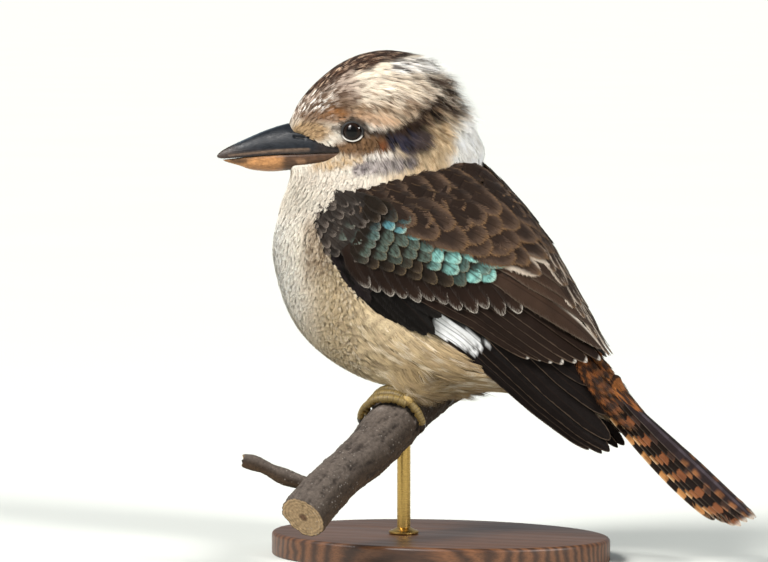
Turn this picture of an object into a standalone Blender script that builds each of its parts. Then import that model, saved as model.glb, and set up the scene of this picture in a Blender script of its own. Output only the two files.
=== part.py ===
"""Laughing kookaburra, life size, still, gripping a cut length of branch on a plain display stand.

The bird faces -X with +Z up and Y across it. Its left side, which the picture shows, is at -Y.
The origin is the centre of the underside of the stand's base. Sizes below are in millimetres.
"""

import math

import bpy
import numpy as np
from mathutils import Vector
from mathutils.bvhtree import BVHTree

MM = 0.001
GAP = 0.3

# The head is turned to the bird's left about an upright line through the neck.
HEAD_TURN = math.radians(18)
HEAD_PIVOT_X = -31.5
TURN_START_Z = 200.0
TURN_FULL_Z = 235.0

# The body from the bill to the tail: throat or belly point (x, z), crown or back point (x, z), half width.
BODY_STATIONS = (
    (-91.0, 231.5, -92.0, 259.5, 9.5),
    (-91.0, 228.5, -85.5, 272.7, 14.0),
    (-91.5, 225.5, -74.7, 285.0, 18.5),
    (-92.5, 222.5, -61.0, 295.5, 22.0),
    (-93.7, 219.0, -46.5, 301.5, 25.0),
    (-95.5, 215.0, -29.0, 303.0, 27.5),
    (-97.5, 211.0, -11.5, 296.5, 29.0),
    (-99.5, 206.5, 2.0, 283.0, 30.0),
    (-101.0, 201.5, 9.5, 269.0, 31.0),
    (-102.5, 195.5, 18.5, 257.5, 33.0),
    (-103.7, 189.0, 25.0, 245.0, 35.5),
    (-104.0, 180.0, 27.5, 231.5, 38.5),
    (-101.5, 167.5, 36.0, 218.5, 41.0),
    (-96.5, 151.5, 50.0, 203.0, 43.0),
    (-88.0, 136.0, 61.0, 187.0, 44.0),
    (-75.5, 123.0, 71.5, 171.0, 43.5),
    (-59.5, 112.5, 83.0, 156.0, 41.5),
    (-40.0, 104.5, 92.0, 143.0, 38.0),
    (-14.0, 100.0, 99.0, 131.0, 33.5),
    (13.0, 99.5, 105.0, 121.0, 28.5),
    (40.0, 97.5, 110.0, 114.5, 23.5),
    (66.0, 91.5, 115.0, 109.0, 19.5),
    (88.0, 84.0, 120.5, 103.5, 16.0),
    (104.0, 76.0, 130.0, 95.0, 13.5),
    (121.0, 68.5, 142.0, 85.0, 9.0),
)
HEAD_END, NECK_END, TORSO_END, TAIL_CORE_END = 8.0, 10.0, 22.0, 24.0
BODY_SQUARENESS = 2.25
BODY_SIDES = 24
# The head's half width narrows towards the bill, by distance behind the brow, and the throat below is wider again.
FACE_FRONT_X = -92.0
FACE_HALF, FACE_SLOPE, FACE_CURVE = 12.3, 0.16, 0.0031
FACE_LOW_Z, FACE_FULL_Z = 200.0, 234.0
THROAT_ROOM = 40.0
FACE_SHARPNESS = 8.0

EYE_XZ = (-53.7, 255.7)
EYE_RADIUS = 7.6
EYE_SINK = 5.0
LID_RADIUS = 6.3
LID_THICK = 1.15

# Bill profiles along x: ridge or keel height, mouth edge height, half width.
UPPER_BILL = (
    (-135.0, 240.6, 239.3, 0.7),
    (-133.0, 242.6, 238.6, 1.7),
    (-128.7, 245.3, 238.6, 3.2),
    (-117.9, 250.4, 239.6, 5.9),
    (-104.7, 256.0, 241.0, 8.6),
    (-92.7, 259.6, 241.7, 11.6),
    (-81.3, 260.5, 242.1, 14.4),
    (-70.0, 257.5, 242.7, 16.8),
    (-60.0, 252.5, 243.0, 18.6),
)
LOWER_BILL = (
    (-131.6, 237.6, 238.0, 0.8),
    (-128.5, 236.3, 238.3, 2.2),
    (-121.5, 234.3, 239.1, 4.2),
    (-114.3, 231.9, 239.9, 6.0),
    (-102.9, 230.8, 240.8, 8.4),
    (-92.7, 231.6, 241.4, 11.3),
    (-81.3, 232.6, 241.8, 14.1),
    (-70.0, 234.5, 242.4, 16.4),
    (-60.0, 236.5, 242.7, 18.2),
)
BILL_ARC = 11
UPPER_POWER, LOWER_POWER = 0.85, 0.7
# The folded wing lies on a curved surface: a runs from the shoulder to the wing tip, h up towards the back.
WING_ORIGIN = (-55.7, 213.1)
WING_SLOPE = math.radians(40.75)
WING_SECTIONS_A = (-8.0, 20.0, 50.0, 80.0, 110.0, 140.0, 170.0, 200.0, 230.0)
WING_HALF_WIDTH = (33.0, 36.0, 37.5, 37.0, 34.5, 30.0, 24.5, 19.5, 15.5)
WING_RIDGE_H = (78.0, 73.0, 68.0, 62.5, 56.0, 46.0, 36.0, 28.0, 22.0)
WING_WIDEST_H = (2.0, 6.0, 8.0, 9.0, 10.0, 9.0, 7.0, 5.0, 3.0)
WING_LOWER_REACH = (60.0, 60.0, 60.0, 58.0, 52.0, 46.0, 40.0, 34.0, 28.0)
WING_SQUARENESS = 2.3
RIDGE_MARGIN = 2.2
CORE_INNER = 0.8
CORE_THICK = 7.0
ROOM_INNER = -0.8
WING_LOWER_EDGE = ((-7, -17), (16, -30), (33, -38), (58, -40), (78, -33), (100, -27), (134, -21), (158, -19.5),
                   (180, -19), (200, -17), (226, -11))
WING_UPPER_EDGE = ((-7, 0), (1, 15), (9, 34), (25, 64), (38, 84), (120, 84), (140, 62), (160, 55), (176, 46),
                   (188, 37), (194, 30), (208, 22), (226, 6))
CORE_LOWER_EDGE = ((-3, -10), (16, -21), (33, -27), (50, -27), (65, -21), (80, -16), (100, -9), (126, 8))
CORE_UPPER_EDGE = ((-3, -7), (5, 6), (20, 28), (40, 56), (60, 62), (80, 58), (100, 51), (126, 38))

# Branch centreline points (x, y, z) and radius, from the cut near end to the far end.
BRANCH = (
    (-48.8, -110.0, 34.5, 14.6),
    (-43.6, -95.0, 45.0, 14.2),
    (-37.1, -78.0, 55.0, 13.4),
    (-29.8, -55.0, 65.0, 14.6),
    (-24.6, -29.0, 76.9, 15.9),
    (-19.2, -3.0, 88.8, 16.1),
    (-13.4, 24.0, 98.3, 15.8),
    (-6.8, 52.0, 104.6, 15.2),
    (-4.2, 64.0, 106.6, 15.0),
)
TWIG_ROOT = (-42.5, -93.0, 45.5)
TWIG_TIP = (-88.0, -104.0, 65.5)
TWIG_RADII = (5.6, 4.3)

FOOT_Y = {"left": -18.0, "right": 17.0}
TOE_RADIUS = 3.3
FOOT_ANGLE = math.radians(128)
FRONT_TOE_END = math.radians(8)
HIND_TOE_END = math.radians(194)
PAD_RADIUS = 4.3
CLAW_LENGTH = 9.0
LEG_TOP = {"left": (4.0, -20.0, 121.0), "right": (8.0, 20.0, 131.0)}
LEG_RADIUS = 3.6
THIGHS = {"left": (-2.0, -20.0, 114.0), "right": (4.0, 20.0, 122.0)}
THIGH_RADII = (24.0, 15.5, 17.0)

# The tail: start of its ridge line, direction, and the lie of its feathers.
TAIL_START = (108.5, 119.4)
TAIL_SLOPE = math.radians(42.3)
TAIL_ROLL = math.radians(12)
TAIL_ROOF = math.radians(25)
TAIL_LENGTH = 126.0
TAIL_PAIRS = ((4.0, 15.0), (7.5, 9.0), (10.0, 9.0), (12.5, 9.0), (15.0, 9.0), (17.5, 9.0))

BASE_RADII = (104.0, 70.0)
BASE_THICK = 14.0
BASE_EDGE = 2.5
ROD_RADIUS = 4.0
ROD_Y = -8.0
ROD_DEPTH = 6.0
COLLAR_RADIUS = 9.0
COLLAR_HEIGHT = 4.0


def material(name, colour, roughness, metallic=0.0):
    """A Principled surface in one colour, made once and shared."""
    made = bpy.data.materials.get(name)
    if made is None:
        made = bpy.data.materials.new(name)
        made.use_nodes = True
        shader = made.node_tree.nodes["Principled BSDF"]
        shader.inputs["Base Color"].default_value = (*colour, 1.0)
        shader.inputs["Roughness"].default_value = roughness
        shader.inputs["Metallic"].default_value = metallic
        made.diffuse_color = (*colour, 1.0)
    return made


def new_object(name, points, faces, finish=None):
    """A mesh object from points in millimetres."""
    mesh = bpy.data.meshes.new(name)
    mesh.from_pydata((np.asarray(points, float) * MM).tolist(), [], [list(f) for f in faces])
    mesh.update()
    made = bpy.data.objects.new(name, mesh)
    bpy.context.scene.collection.objects.link(made)
    if finish:
        mesh.materials.append(finish)
    return made


def take_evaluated_mesh(target):
    """Applies every modifier of target."""
    bpy.context.view_layer.update()
    graph = bpy.context.evaluated_depsgraph_get()
    mesh = bpy.data.meshes.new_from_object(target.evaluated_get(graph))
    target.modifiers.clear()
    target.data = mesh


def join_pieces(target, pieces, solver="EXACT"):
    """One Boolean union of target with closed pieces, which are then removed."""
    group = bpy.data.collections.new(target.name + " pieces")
    bpy.context.scene.collection.children.link(group)
    for piece in pieces:
        bpy.context.scene.collection.objects.unlink(piece)
        group.objects.link(piece)
    union = target.modifiers.new("join", "BOOLEAN")
    union.operation = "UNION"
    union.operand_type = "COLLECTION"
    union.collection = group
    union.solver = solver
    take_evaluated_mesh(target)
    for piece in pieces:
        bpy.data.objects.remove(piece)
    bpy.data.collections.remove(group)
    keep_largest_body(target)


def cut(target, cutters, solver="EXACT"):
    """Takes closed cutters away from target, one after another, and removes them."""
    for cutter in cutters:
        difference = target.modifiers.new("cut", "BOOLEAN")
        difference.operation = "DIFFERENCE"
        difference.object = cutter
        difference.solver = solver
        take_evaluated_mesh(target)
        bpy.data.objects.remove(cutter)
    keep_largest_body(target)


def keep_largest_body(target):
    """Drops every closed surface but the one with most room inside."""
    mesh = target.data
    mesh.calc_loop_triangles()
    count = len(mesh.vertices)
    points = np.empty(count * 3)
    mesh.vertices.foreach_get("co", points)
    points = points.reshape(-1, 3)
    label = np.arange(count)
    corners = np.array([t.vertices[:] for t in mesh.loop_triangles])
    while True:
        least = label[corners].min(axis=1)
        before = label.copy()
        for k in range(3):
            np.minimum.at(label, corners[:, k], least)
        label = label[label]
        if (label == before).all():
            break
    volume = np.linalg.det(points[corners]) / 6
    rooms = {body: volume[label[corners[:, 0]] == body].sum() for body in np.unique(label[corners[:, 0]])}
    if len(rooms) < 2:
        return
    kept = max(rooms, key=rooms.get)
    used = np.flatnonzero(label == kept)
    place = np.full(count, -1)
    place[used] = np.arange(len(used))
    faces = place[corners[label[corners[:, 0]] == kept]]
    mesh_new = bpy.data.meshes.new(target.name)
    mesh_new.from_pydata(points[used].tolist(), [], faces.tolist())
    for finish in mesh.materials:
        mesh_new.materials.append(finish)
    target.data = mesh_new


def smooth_table(rows, at):
    """Values between the rows of a table by a Catmull-Rom curve, at fractional row numbers."""
    rows = np.asarray(rows, float)
    at = np.atleast_1d(np.asarray(at, float))
    last = len(rows) - 1
    i = np.clip(np.floor(at).astype(int), 0, last - 1)
    t = (at - i)[:, None]
    before, here = rows[np.maximum(i - 1, 0)], rows[i]
    there, beyond = rows[i + 1], rows[np.minimum(i + 2, last)]
    before = np.where((i == 0)[:, None], 2 * here - there, before)
    beyond = np.where((i + 2 > last)[:, None], 2 * there - here, beyond)
    return 0.5 * (
        2 * here
        + (there - before) * t
        + (2 * before - 5 * here + 4 * there - beyond) * t**2
        + (3 * here - before - 3 * there + beyond) * t**3
    )


def smooth_step(value, low, high):
    t = np.clip((value - low) / (high - low), 0, 1)
    return t * t * (3 - 2 * t)


def turn_head(points):
    """Turns what lies above the shoulders about the upright line through the neck."""
    points = np.array(points, float)
    angle = HEAD_TURN * smooth_step(points[:, 2], TURN_START_Z, TURN_FULL_Z)
    x, y = points[:, 0] - HEAD_PIVOT_X, points[:, 1].copy()
    points[:, 0] = HEAD_PIVOT_X + x * np.cos(angle) - y * np.sin(angle)
    points[:, 1] = x * np.sin(angle) + y * np.cos(angle)
    return points


def face_limit(x, z):
    """The most that the head measures from its middle to its side."""
    behind = np.maximum(x - FACE_FRONT_X, 0)
    limit = FACE_HALF + FACE_SLOPE * behind + FACE_CURVE * behind**2
    return limit + THROAT_ROOM * (1 - smooth_step(z, FACE_LOW_Z, FACE_FULL_Z))


def body_surface(u, angle, lift=0.0):
    """Points on the body before the head is turned. u is the station, angle runs from the back over the left side."""
    u, angle = np.broadcast_arrays(np.asarray(u, float), np.asarray(angle, float))
    rows = smooth_table(BODY_STATIONS, u.ravel())
    front, back, half = rows[:, 0:2], rows[:, 2:4], rows[:, 4]
    centre, reach = (front + back) / 2, (back - front) / 2
    length = np.linalg.norm(reach, axis=1)
    c, s = np.cos(angle.ravel()), np.sin(angle.ravel())
    power = 2 / BODY_SQUARENESS
    along = np.sign(c) * np.abs(c) ** power
    across = np.sign(s) * np.abs(s) ** power
    scale = 1 + np.asarray(lift) / length
    wide = half + np.asarray(lift)
    x = centre[:, 0] + reach[:, 0] * along * scale
    z = centre[:, 1] + reach[:, 1] * along * scale
    side = across * wide
    limit = face_limit(x, z) + np.asarray(lift)
    side /= (1 + np.abs(side / limit) ** FACE_SHARPNESS) ** (1 / FACE_SHARPNESS)
    return np.stack([x, -side, z], axis=1)


def closed_rings(rings):
    """Points and triangles of a closed solid from equal rings, with a centre point in each end."""
    count, sides = len(rings), len(rings[0])
    points = [p for ring in rings for p in ring]
    points += [np.mean(rings[0], axis=0), np.mean(rings[-1], axis=0)]
    faces = []
    for i in range(count - 1):
        for j in range(sides):
            a, b = i * sides + j, i * sides + (j + 1) % sides
            faces += [(a, a + sides, b + sides), (a, b + sides, b)]
    for j in range(sides):
        k = (j + 1) % sides
        last = (count - 1) * sides
        faces += [(count * sides, j, k), (count * sides + 1, last + k, last + j)]
    return np.array(points), outward(np.array(points), faces)


def outward(points, faces):
    """The faces, turned round if they enclose a negative volume."""
    corners = np.array(faces)
    if np.linalg.det(np.asarray(points)[corners]).sum() < 0:
        corners = corners[:, ::-1]
    return corners.tolist()


def body_length(name, start, end, count, finish, gap_start=0.0, gap_end=0.0):
    """A closed length of the body between two stations, drawn back from its neighbours by the gaps."""
    angles = np.arange(BODY_SIDES) / BODY_SIDES * 2 * np.pi
    rings = [body_surface(u, angles) for u in np.linspace(start, end, count)]
    for ring, other, gap in ((rings[0], rings[1], gap_start), (rings[-1], rings[-2], gap_end)):
        if gap:
            quarter = BODY_SIDES // 4
            normal = np.cross(ring[0] - ring[2 * quarter], ring[quarter] - ring[3 * quarter])
            normal /= np.linalg.norm(normal)
            inward = np.sign(normal @ (other.mean(axis=0) - ring.mean(axis=0)))
            ring += normal * inward * gap
    points, faces = closed_rings(rings)
    return new_object(name, turn_head(points), faces, finish)


def tube(centres, radii, sides, squash=1.0, up=(0, 0, 1)):
    """Points and triangles of a closed tube through centres, flattened across up by squash."""
    centres = np.asarray(centres, float)
    along = np.gradient(centres, axis=0)
    along /= np.linalg.norm(along, axis=1)[:, None]
    upright = np.asarray(up, float)
    upright = np.tile(upright, (len(centres), 1)) if upright.ndim == 1 else upright
    side = np.cross(along, upright)
    side /= np.linalg.norm(side, axis=1)[:, None]
    top = np.cross(side, along)
    angle = (np.arange(sides) + 0.5) / sides * 2 * np.pi
    rings = [
        c + r * (np.cos(angle)[:, None] * s + squash * np.sin(angle)[:, None] * t)
        for c, r, s, t in zip(centres, np.broadcast_to(radii, len(centres)), side, top)
    ]
    return closed_rings(rings)


def ellipsoid(centre, radii, rings=7, sides=12):
    """Points and triangles of an ellipsoid with its poles up and down."""
    centre, radii = np.asarray(centre, float), np.asarray(radii, float)
    polar = np.linspace(0, np.pi, rings + 1)[1:-1]
    around = np.arange(sides) / sides * 2 * np.pi
    points = [
        centre + radii * (math.sin(p) * math.cos(a), math.sin(p) * math.sin(a), math.cos(p))
        for p in polar
        for a in around
    ]
    points += [centre + radii * (0, 0, 1), centre - radii * (0, 0, 1)]
    faces = []
    for i in range(len(polar) - 1):
        for j in range(sides):
            a, b = i * sides + j, i * sides + (j + 1) % sides
            faces += [(a, a + sides, b + sides), (a, b + sides, b)]
    top, bottom, last = len(points) - 2, len(points) - 1, (len(polar) - 1) * sides
    for j in range(sides):
        k = (j + 1) % sides
        faces += [(top, j, k), (bottom, last + k, last + j)]
    points = np.array(points)
    return points, outward(points, faces)


class WingSurface:
    """The curved sheet on which the folded wing's feathers lie.

    Each section across the wing is a superellipse. Its arc length q runs from the ridge of the back (0)
    down the side. A point is given by a, q and the lift off the sheet, all in millimetres.
    """

    q_step = 2.0
    q_count = 70

    def __init__(self):
        self.a = np.arange(-8.0, 231.0, 4.0)
        theta = np.linspace(np.pi / 2, -np.pi / 2, 181)
        power = 2 / WING_SQUARENESS
        half, ridge, widest, lower = (
            np.interp(self.a, WING_SECTIONS_A, row)
            for row in (WING_HALF_WIDTH, WING_RIDGE_H, WING_WIDEST_H, WING_LOWER_REACH)
        )
        q_even = np.arange(self.q_count) * self.q_step
        table = []
        for b, r, w, low in zip(half, ridge, widest, lower):
            s = np.sign(np.sin(theta)) * np.abs(np.sin(theta)) ** power
            h = w + np.where(s > 0, (r - w) * s, low * s)
            y = b * np.abs(np.cos(theta)) ** power
            q = np.concatenate([[0], np.cumsum(np.hypot(np.diff(h), np.diff(y)))])
            table.append(np.stack([np.interp(q_even, q, h), np.interp(q_even, q, y)], axis=1))
        self.table = np.array(table)

    def section(self, a, q):
        """(h, y) on the sheet, between the table's rows."""
        i = np.clip((a - self.a[0]) / (self.a[1] - self.a[0]), 0, len(self.a) - 1.001)
        j = np.clip(q / self.q_step, 0, self.q_count - 1.001)
        i0, j0 = i.astype(int), j.astype(int)
        s, t = (i - i0)[:, None], (j - j0)[:, None]
        near = self.table[i0, j0] * (1 - t) + self.table[i0, j0 + 1] * t
        far = self.table[i0 + 1, j0] * (1 - t) + self.table[i0 + 1, j0 + 1] * t
        return near * (1 - s) + far * s

    def place(self, a, q):
        h, y = self.section(a, q).T
        along, up = np.cos(WING_SLOPE), np.sin(WING_SLOPE)
        x = WING_ORIGIN[0] + a * along + h * up
        z = WING_ORIGIN[1] - a * up + h * along
        return np.stack([x, -y, z], axis=1)

    def points(self, a, q, lift):
        """Places in the part's frame. Lifts shrink towards the ridge of the back, where feathers lie tight."""
        a, q, lift = (np.atleast_1d(np.asarray(v, float)) for v in np.broadcast_arrays(a, q, lift))
        q = np.maximum(q, RIDGE_MARGIN)
        step = 1.0
        da = self.place(a + step, q) - self.place(a - step, q)
        dq = self.place(a, q + step) - self.place(a, np.maximum(q - step, 0))
        normal = np.cross(da, dq)
        normal /= np.linalg.norm(normal, axis=1)[:, None]
        normal *= np.where(normal[:, 1:2] * -1 + normal[:, 2:3] * 0.5 < 0, -1, 1)
        tight = 0.62 + 0.38 * smooth_step(q, 4.0, 34.0)
        return self.place(a, q) + normal * (lift * tight)[:, None]

    def q_of(self, a, h):
        """Arc length of the point at height h on the section at a."""
        q_even = np.arange(self.q_count) * self.q_step
        row = self.section(np.full(self.q_count, float(a)), q_even)[:, 0]
        return float(np.interp(-h, -row, q_even))


def vane(place, root, tip, width, root_lift, tip_lift, roll, thick, shape, columns=2, bow=0.0):
    """A feather: a flat strip from root to tip, thin and closed, alike on both faces.

    place maps (a, q, lift) to points. roll lifts the side with larger q, bow bends the strip to that side.
    """
    root, tip = np.asarray(root, float), np.asarray(tip, float)
    line = tip - root
    length = np.linalg.norm(line)
    side = np.array([-line[1], line[0]]) / length
    rows = len(shape)
    across = np.linspace(-0.5, 0.5, columns)
    top, bottom = [], []
    for t, share in shape:
        middle = root + line * t + side * bow * math.sin(math.pi * t)
        lift = root_lift + (tip_lift - root_lift) * t
        for v in across:
            spot = middle + side * v * width * share
            raised = lift + roll * (v + 0.5) * width * share
            crown = thick * (1.0 if columns == 2 else 1.35 - 0.7 * abs(v))
            bottom.append((*spot, raised))
            top.append((*spot, raised + crown))
    grid = np.array(top + bottom)
    points = place(grid[:, 0], grid[:, 1], grid[:, 2])
    under = rows * columns
    faces = []
    for i in range(rows - 1):
        for j in range(columns - 1):
            a, b = i * columns + j, i * columns + j + 1
            c, d = a + columns, b + columns
            faces += [(a, c, d), (a, d, b)]
            faces += [(under + a, under + d, under + c), (under + a, under + b, under + d)]
        for j in (0, columns - 1):
            a, c = i * columns + j, (i + 1) * columns + j
            quad = [(a, under + c, c), (a, under + a, under + c)]
            faces += quad if j == 0 else [f[::-1] for f in quad]
    last = (rows - 1) * columns
    for j in range(columns - 1):
        faces += [(j, j + 1, under + j + 1), (j, under + j + 1, under + j)]
        a = last + j
        faces += [(a, under + a, under + a + 1), (a, under + a + 1, a + 1)]
    return points, outward(points, faces)


FLIGHT_SHAPE = ((0.0, 0.5), (0.5, 1.0), (0.92, 0.75), (1.0, 0.2))
COVERT_SHAPE = ((0.0, 0.7), (0.7, 1.0), (1.0, 0.4))


def along_line(points, count):
    """Evenly spaced points on a line through points."""
    points = np.asarray(points, float)
    run = np.concatenate([[0], np.cumsum(np.linalg.norm(np.diff(points, axis=0), axis=1))])
    at = np.linspace(0, run[-1], count)
    return np.stack([np.interp(at, run, points[:, k]) for k in range(points.shape[1])], axis=1)


# Rows of wing feathers: count, root line (a, h), tip line (a, h), width, lifts at root and tip, roll, thickness, shape.
WING_ROWS = {
    "primaries": (6, ((72, -19), (92, 4)), ((203, -9.5), (219, -6.5), (222, -1), (217, 5), (205, 13), (187, 19)),
                  9.5, 0.9, 0.6, 0.22, 0.75, FLIGHT_SHAPE),
    "secondaries": (5, ((62, -4), (88, 24)), ((163, 15), (175, 23), (183, 30)), 10.5, 4.1, 4.6, 0.19, 0.75,
                    FLIGHT_SHAPE),
    "tertials": (3, ((84, 28), (96, 48)), ((177, 33), (173, 40), (164, 47), (150, 53)), 14.0, 4.8, 6.6, 0.15, 0.8,
                 FLIGHT_SHAPE),
    "primary_coverts": (3, ((26, -22), (42, -10)), ((74, -27), (88, -22), (101, -14)), 9.0, 3.6, 5.1, 0.2, 0.8,
                        COVERT_SHAPE),
    "alula": (2, ((10, -15), (18, -8)), ((58, -31), (54, -24)), 8.0, 4.4, 6.8, 0.2, 0.8, COVERT_SHAPE),
    "greater_coverts": (7, ((46, -10), (70, 8), (92, 30), (103, 46)),
                        ((74, -8), (83, -1), (108, 11), (120, 19), (127, 25), (136, 34), (138.5, 43)),
                        13.0, 5.8, 9.2, 0.08, 0.8, COVERT_SHAPE),
    "median_coverts": (5, ((34, -12), (56, 6), (80, 22), (98, 36)), ((54, -8), (70, 2), (92, 13), (117, 29), (125, 40)),
                       13.0, 6.0, 10.0, 0.08, 0.8, COVERT_SHAPE),
    "lesser_coverts": (5, ((16, -13), (40, 6), (64, 20), (80, 29)), ((38, -10), (58, 8), (82, 22), (101, 33)),
                       13.0, 5.6, 10.4, 0.06, 0.8, COVERT_SHAPE),
    "hind_scapulars": (3, ((84, 42), (94, 53)), ((122, 47), (133, 55)), 15.0, 6.2, 10.4, 0.08, 0.9, COVERT_SHAPE),
    "middle_scapulars": (3, ((58, 36), (70, 55)), ((92, 37), (106, 58)), 17.0, 6.2, 11.0, 0.08, 0.9, COVERT_SHAPE),
    "fore_scapulars": (3, ((30, 22), (50, 62)), ((61, 29), (82, 60)), 18.0, 5.8, 11.2, 0.08, 0.9, COVERT_SHAPE),
    "shoulder_feathers": (3, ((8, 7), (38, 57)), ((33, 17), (60, 60)), 19.0, 5.0, 11.0, 0.08, 0.9, COVERT_SHAPE),
}


def wing_pieces(surface):
    """Points and faces of every feather of the left wing."""
    made = []
    for count, roots, tips, width, low, high, roll, thick, shape in WING_ROWS.values():
        for root, tip in zip(along_line(roots, count), along_line(tips, count)):
            start = (root[0], surface.q_of(*root))
            end = (tip[0], surface.q_of(*tip))
            made.append(vane(surface.points, start, end, width, low, high, roll, thick, shape))
    return made


def wing_patch(surface, lower_edge, upper_edge, columns, rows, inner_lift, outer_lift):
    """A closed sheet of the wing surface between two edges, from inner_lift to outer_lift(share along, share across)."""
    a_low = max(lower_edge[0][0], upper_edge[0][0])
    a_high = min(lower_edge[-1][0], upper_edge[-1][0])
    inner, outer = [], []
    for i in range(columns + 1):
        a = a_low + (a_high - a_low) * i / columns
        q_start = surface.q_of(a, np.interp(a, *zip(*upper_edge)))
        q_end = surface.q_of(a, np.interp(a, *zip(*lower_edge)))
        for j in range(rows + 1):
            q = q_start + (q_end - q_start) * j / rows
            inner.append((a, q, inner_lift))
            outer.append((a, q, outer_lift(i / columns, j / rows)))
    grid = np.array(outer + inner)
    points = surface.points(grid[:, 0], grid[:, 1], grid[:, 2])
    under, wide = len(outer), rows + 1
    faces = []
    for i in range(columns):
        for j in range(rows):
            a, b = i * wide + j, i * wide + j + 1
            c, d = a + wide, b + wide
            faces += [(a, c, d), (a, d, b), (under + a, under + d, under + c), (under + a, under + b, under + d)]
    rim = [j for j in range(rows)] + [i * wide + rows for i in range(columns)]
    rim += [columns * wide + j for j in range(rows, 0, -1)] + [i * wide for i in range(columns, 0, -1)]
    for a, b in zip(rim, rim[1:] + rim[:1]):
        faces += [(a, b, under + b), (a, under + b, under + a)]
    return points, outward(points, faces)


def core_lift(along, across):
    """Thickness of the wing's arm: full in the middle, thin at its edges."""
    edge = (1 - abs(2 * along - 1) ** 4) * (1 - abs(2 * across - 1) ** 4)
    return CORE_INNER + 1.2 + (CORE_THICK - CORE_INNER - 1.2) * edge**0.5


def mirrored(points):
    return np.asarray(points) * (1, -1, 1)


def make_wings(surface, finish):
    feathers = wing_pieces(surface)
    core = wing_patch(surface, CORE_LOWER_EDGE, CORE_UPPER_EDGE, 8, 5, CORE_INNER, core_lift)
    for name, right in (("wing_left", False), ("wing_right", True)):
        pieces = []
        for points, faces in [core] + feathers:
            if right:
                points, faces = mirrored(points), [f[::-1] for f in faces]
            pieces.append(new_object(f"{name} piece {len(pieces)}", points, faces, finish))
        pieces[0].name = name
        join_pieces(pieces[0], pieces[1:], "MANIFOLD")


def wing_room(surface):
    """The space beside the body that a wing takes, drawn out past it, for both sides."""
    points, faces = wing_patch(surface, WING_LOWER_EDGE, WING_UPPER_EDGE, 13, 6, ROOM_INNER, lambda i, j: 30.0)
    left = new_object("left wing room", points, faces)
    right = new_object("right wing room", mirrored(points), [f[::-1] for f in faces])
    return [left, right]


def branch_at(t):
    """Centre and radius of the branch at fractional point t."""
    row = smooth_table(BRANCH, t)
    return row[:, :3], row[:, 3]


def branch_frame(y):
    """Centre, radius, direction, top and forward directions of the branch where it crosses y."""
    t = np.linspace(0, len(BRANCH) - 1, 400)
    centres, radii = branch_at(t)
    k = int(np.argmin(np.abs(centres[:, 1] - y)))
    along = centres[min(k + 8, 399)] - centres[max(k - 8, 0)]
    along /= np.linalg.norm(along)
    top = np.array([0, 0, 1.0]) - along[2] * along
    top /= np.linalg.norm(top)
    forward = -np.cross(along, top)
    return centres[k], radii[k], along, top, forward


def branch_tube(extra, start, end, count, sides, bark=False):
    """The branch, thicker by extra, between two fractional points, with low bark ridges."""
    t = np.linspace(start, end, count)
    centres, radii = branch_at(t)
    points, faces = tube(centres, radii + extra, sides)
    if bark:
        angle = np.tile(np.arange(sides), count) / sides * 2 * np.pi
        place = np.repeat(t, sides)
        away = 1 - np.exp(-(((place - 5.2) / 1.6) ** 2))
        ridge = 0.35 * np.sin(5 * angle + 1.3 * place) + 0.3 * np.sin(3 * angle - 4.1 * place)
        ring = points[: count * sides]
        middle = np.repeat(centres, sides, axis=0)
        outwards = (ring - middle) / np.linalg.norm(ring - middle, axis=1)[:, None]
        ring += outwards * (ridge * away - 0.3)[:, None]
    return points, faces


def make_perch(finish):
    perch = new_object("perch", *branch_tube(0.0, 0, len(BRANCH) - 1, 18, 16, bark=True), finish)
    steps = np.linspace(0, 1, 5)[:, None]
    line = np.array(TWIG_ROOT) * (1 - steps) + np.array(TWIG_TIP) * steps
    line[:, 2] += 2.0 * np.sin(np.pi * steps[:, 0])
    radii = np.interp(steps[:, 0], (0, 1), TWIG_RADII)
    join_pieces(perch, [new_object("twig", *tube(line, radii, 8), finish)])
    centre, radius = branch_frame(ROD_Y)[:2]
    hole_top = centre[2] - radius + ROD_DEPTH
    cut(perch, [upright_rod("rod hole", centre[0], ROD_Y, 10.0, hole_top + GAP, ROD_RADIUS + GAP)])
    return hole_top, centre[0]


def upright_rod(name, x, y, low, high, radius, sides=16, finish=None):
    angle = np.arange(sides) / sides * 2 * np.pi
    rings = [
        np.stack([x + radius * np.cos(angle), y + radius * np.sin(angle), np.full(sides, z)], axis=1)
        for z in (low, high)
    ]
    return new_object(name, *closed_rings(rings), finish)


def make_stand(rod_top, rod_x, wood, metal):
    """An oval base with an eased top edge, and one upright rod in a collar."""
    sides = 40
    angle = np.arange(sides) / sides * 2 * np.pi
    rings = []
    for inset, z in ((1.0, 0.0), (0.0, 1.0), (0.0, BASE_THICK - BASE_EDGE), (0.8, BASE_THICK - 0.7),
                     (BASE_EDGE, BASE_THICK)):
        x, y = (BASE_RADII[0] - inset) * np.cos(angle), (BASE_RADII[1] - inset) * np.sin(angle)
        rings.append(np.stack([x, y, np.full(sides, z)], axis=1))
    base = new_object("stand_base", *closed_rings(rings), wood)
    socket_floor = BASE_THICK - 8.0
    cut(base, [upright_rod("rod socket", rod_x, ROD_Y, socket_floor, BASE_THICK + 5, ROD_RADIUS + GAP)])
    rod = upright_rod("stand_rod", rod_x, ROD_Y, socket_floor + GAP, rod_top, ROD_RADIUS, finish=metal)
    collar = []
    for radius, z in ((COLLAR_RADIUS, BASE_THICK + GAP), (COLLAR_RADIUS, BASE_THICK + GAP + 1.5),
                      (ROD_RADIUS + 0.6, BASE_THICK + COLLAR_HEIGHT)):
        ring = np.arange(20) / 20 * 2 * np.pi
        collar.append(np.stack([rod_x + radius * np.cos(ring), ROD_Y + radius * np.sin(ring), np.full(20, z)], axis=1))
    join_pieces(rod, [new_object("collar", *closed_rings(collar), metal)])


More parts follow.
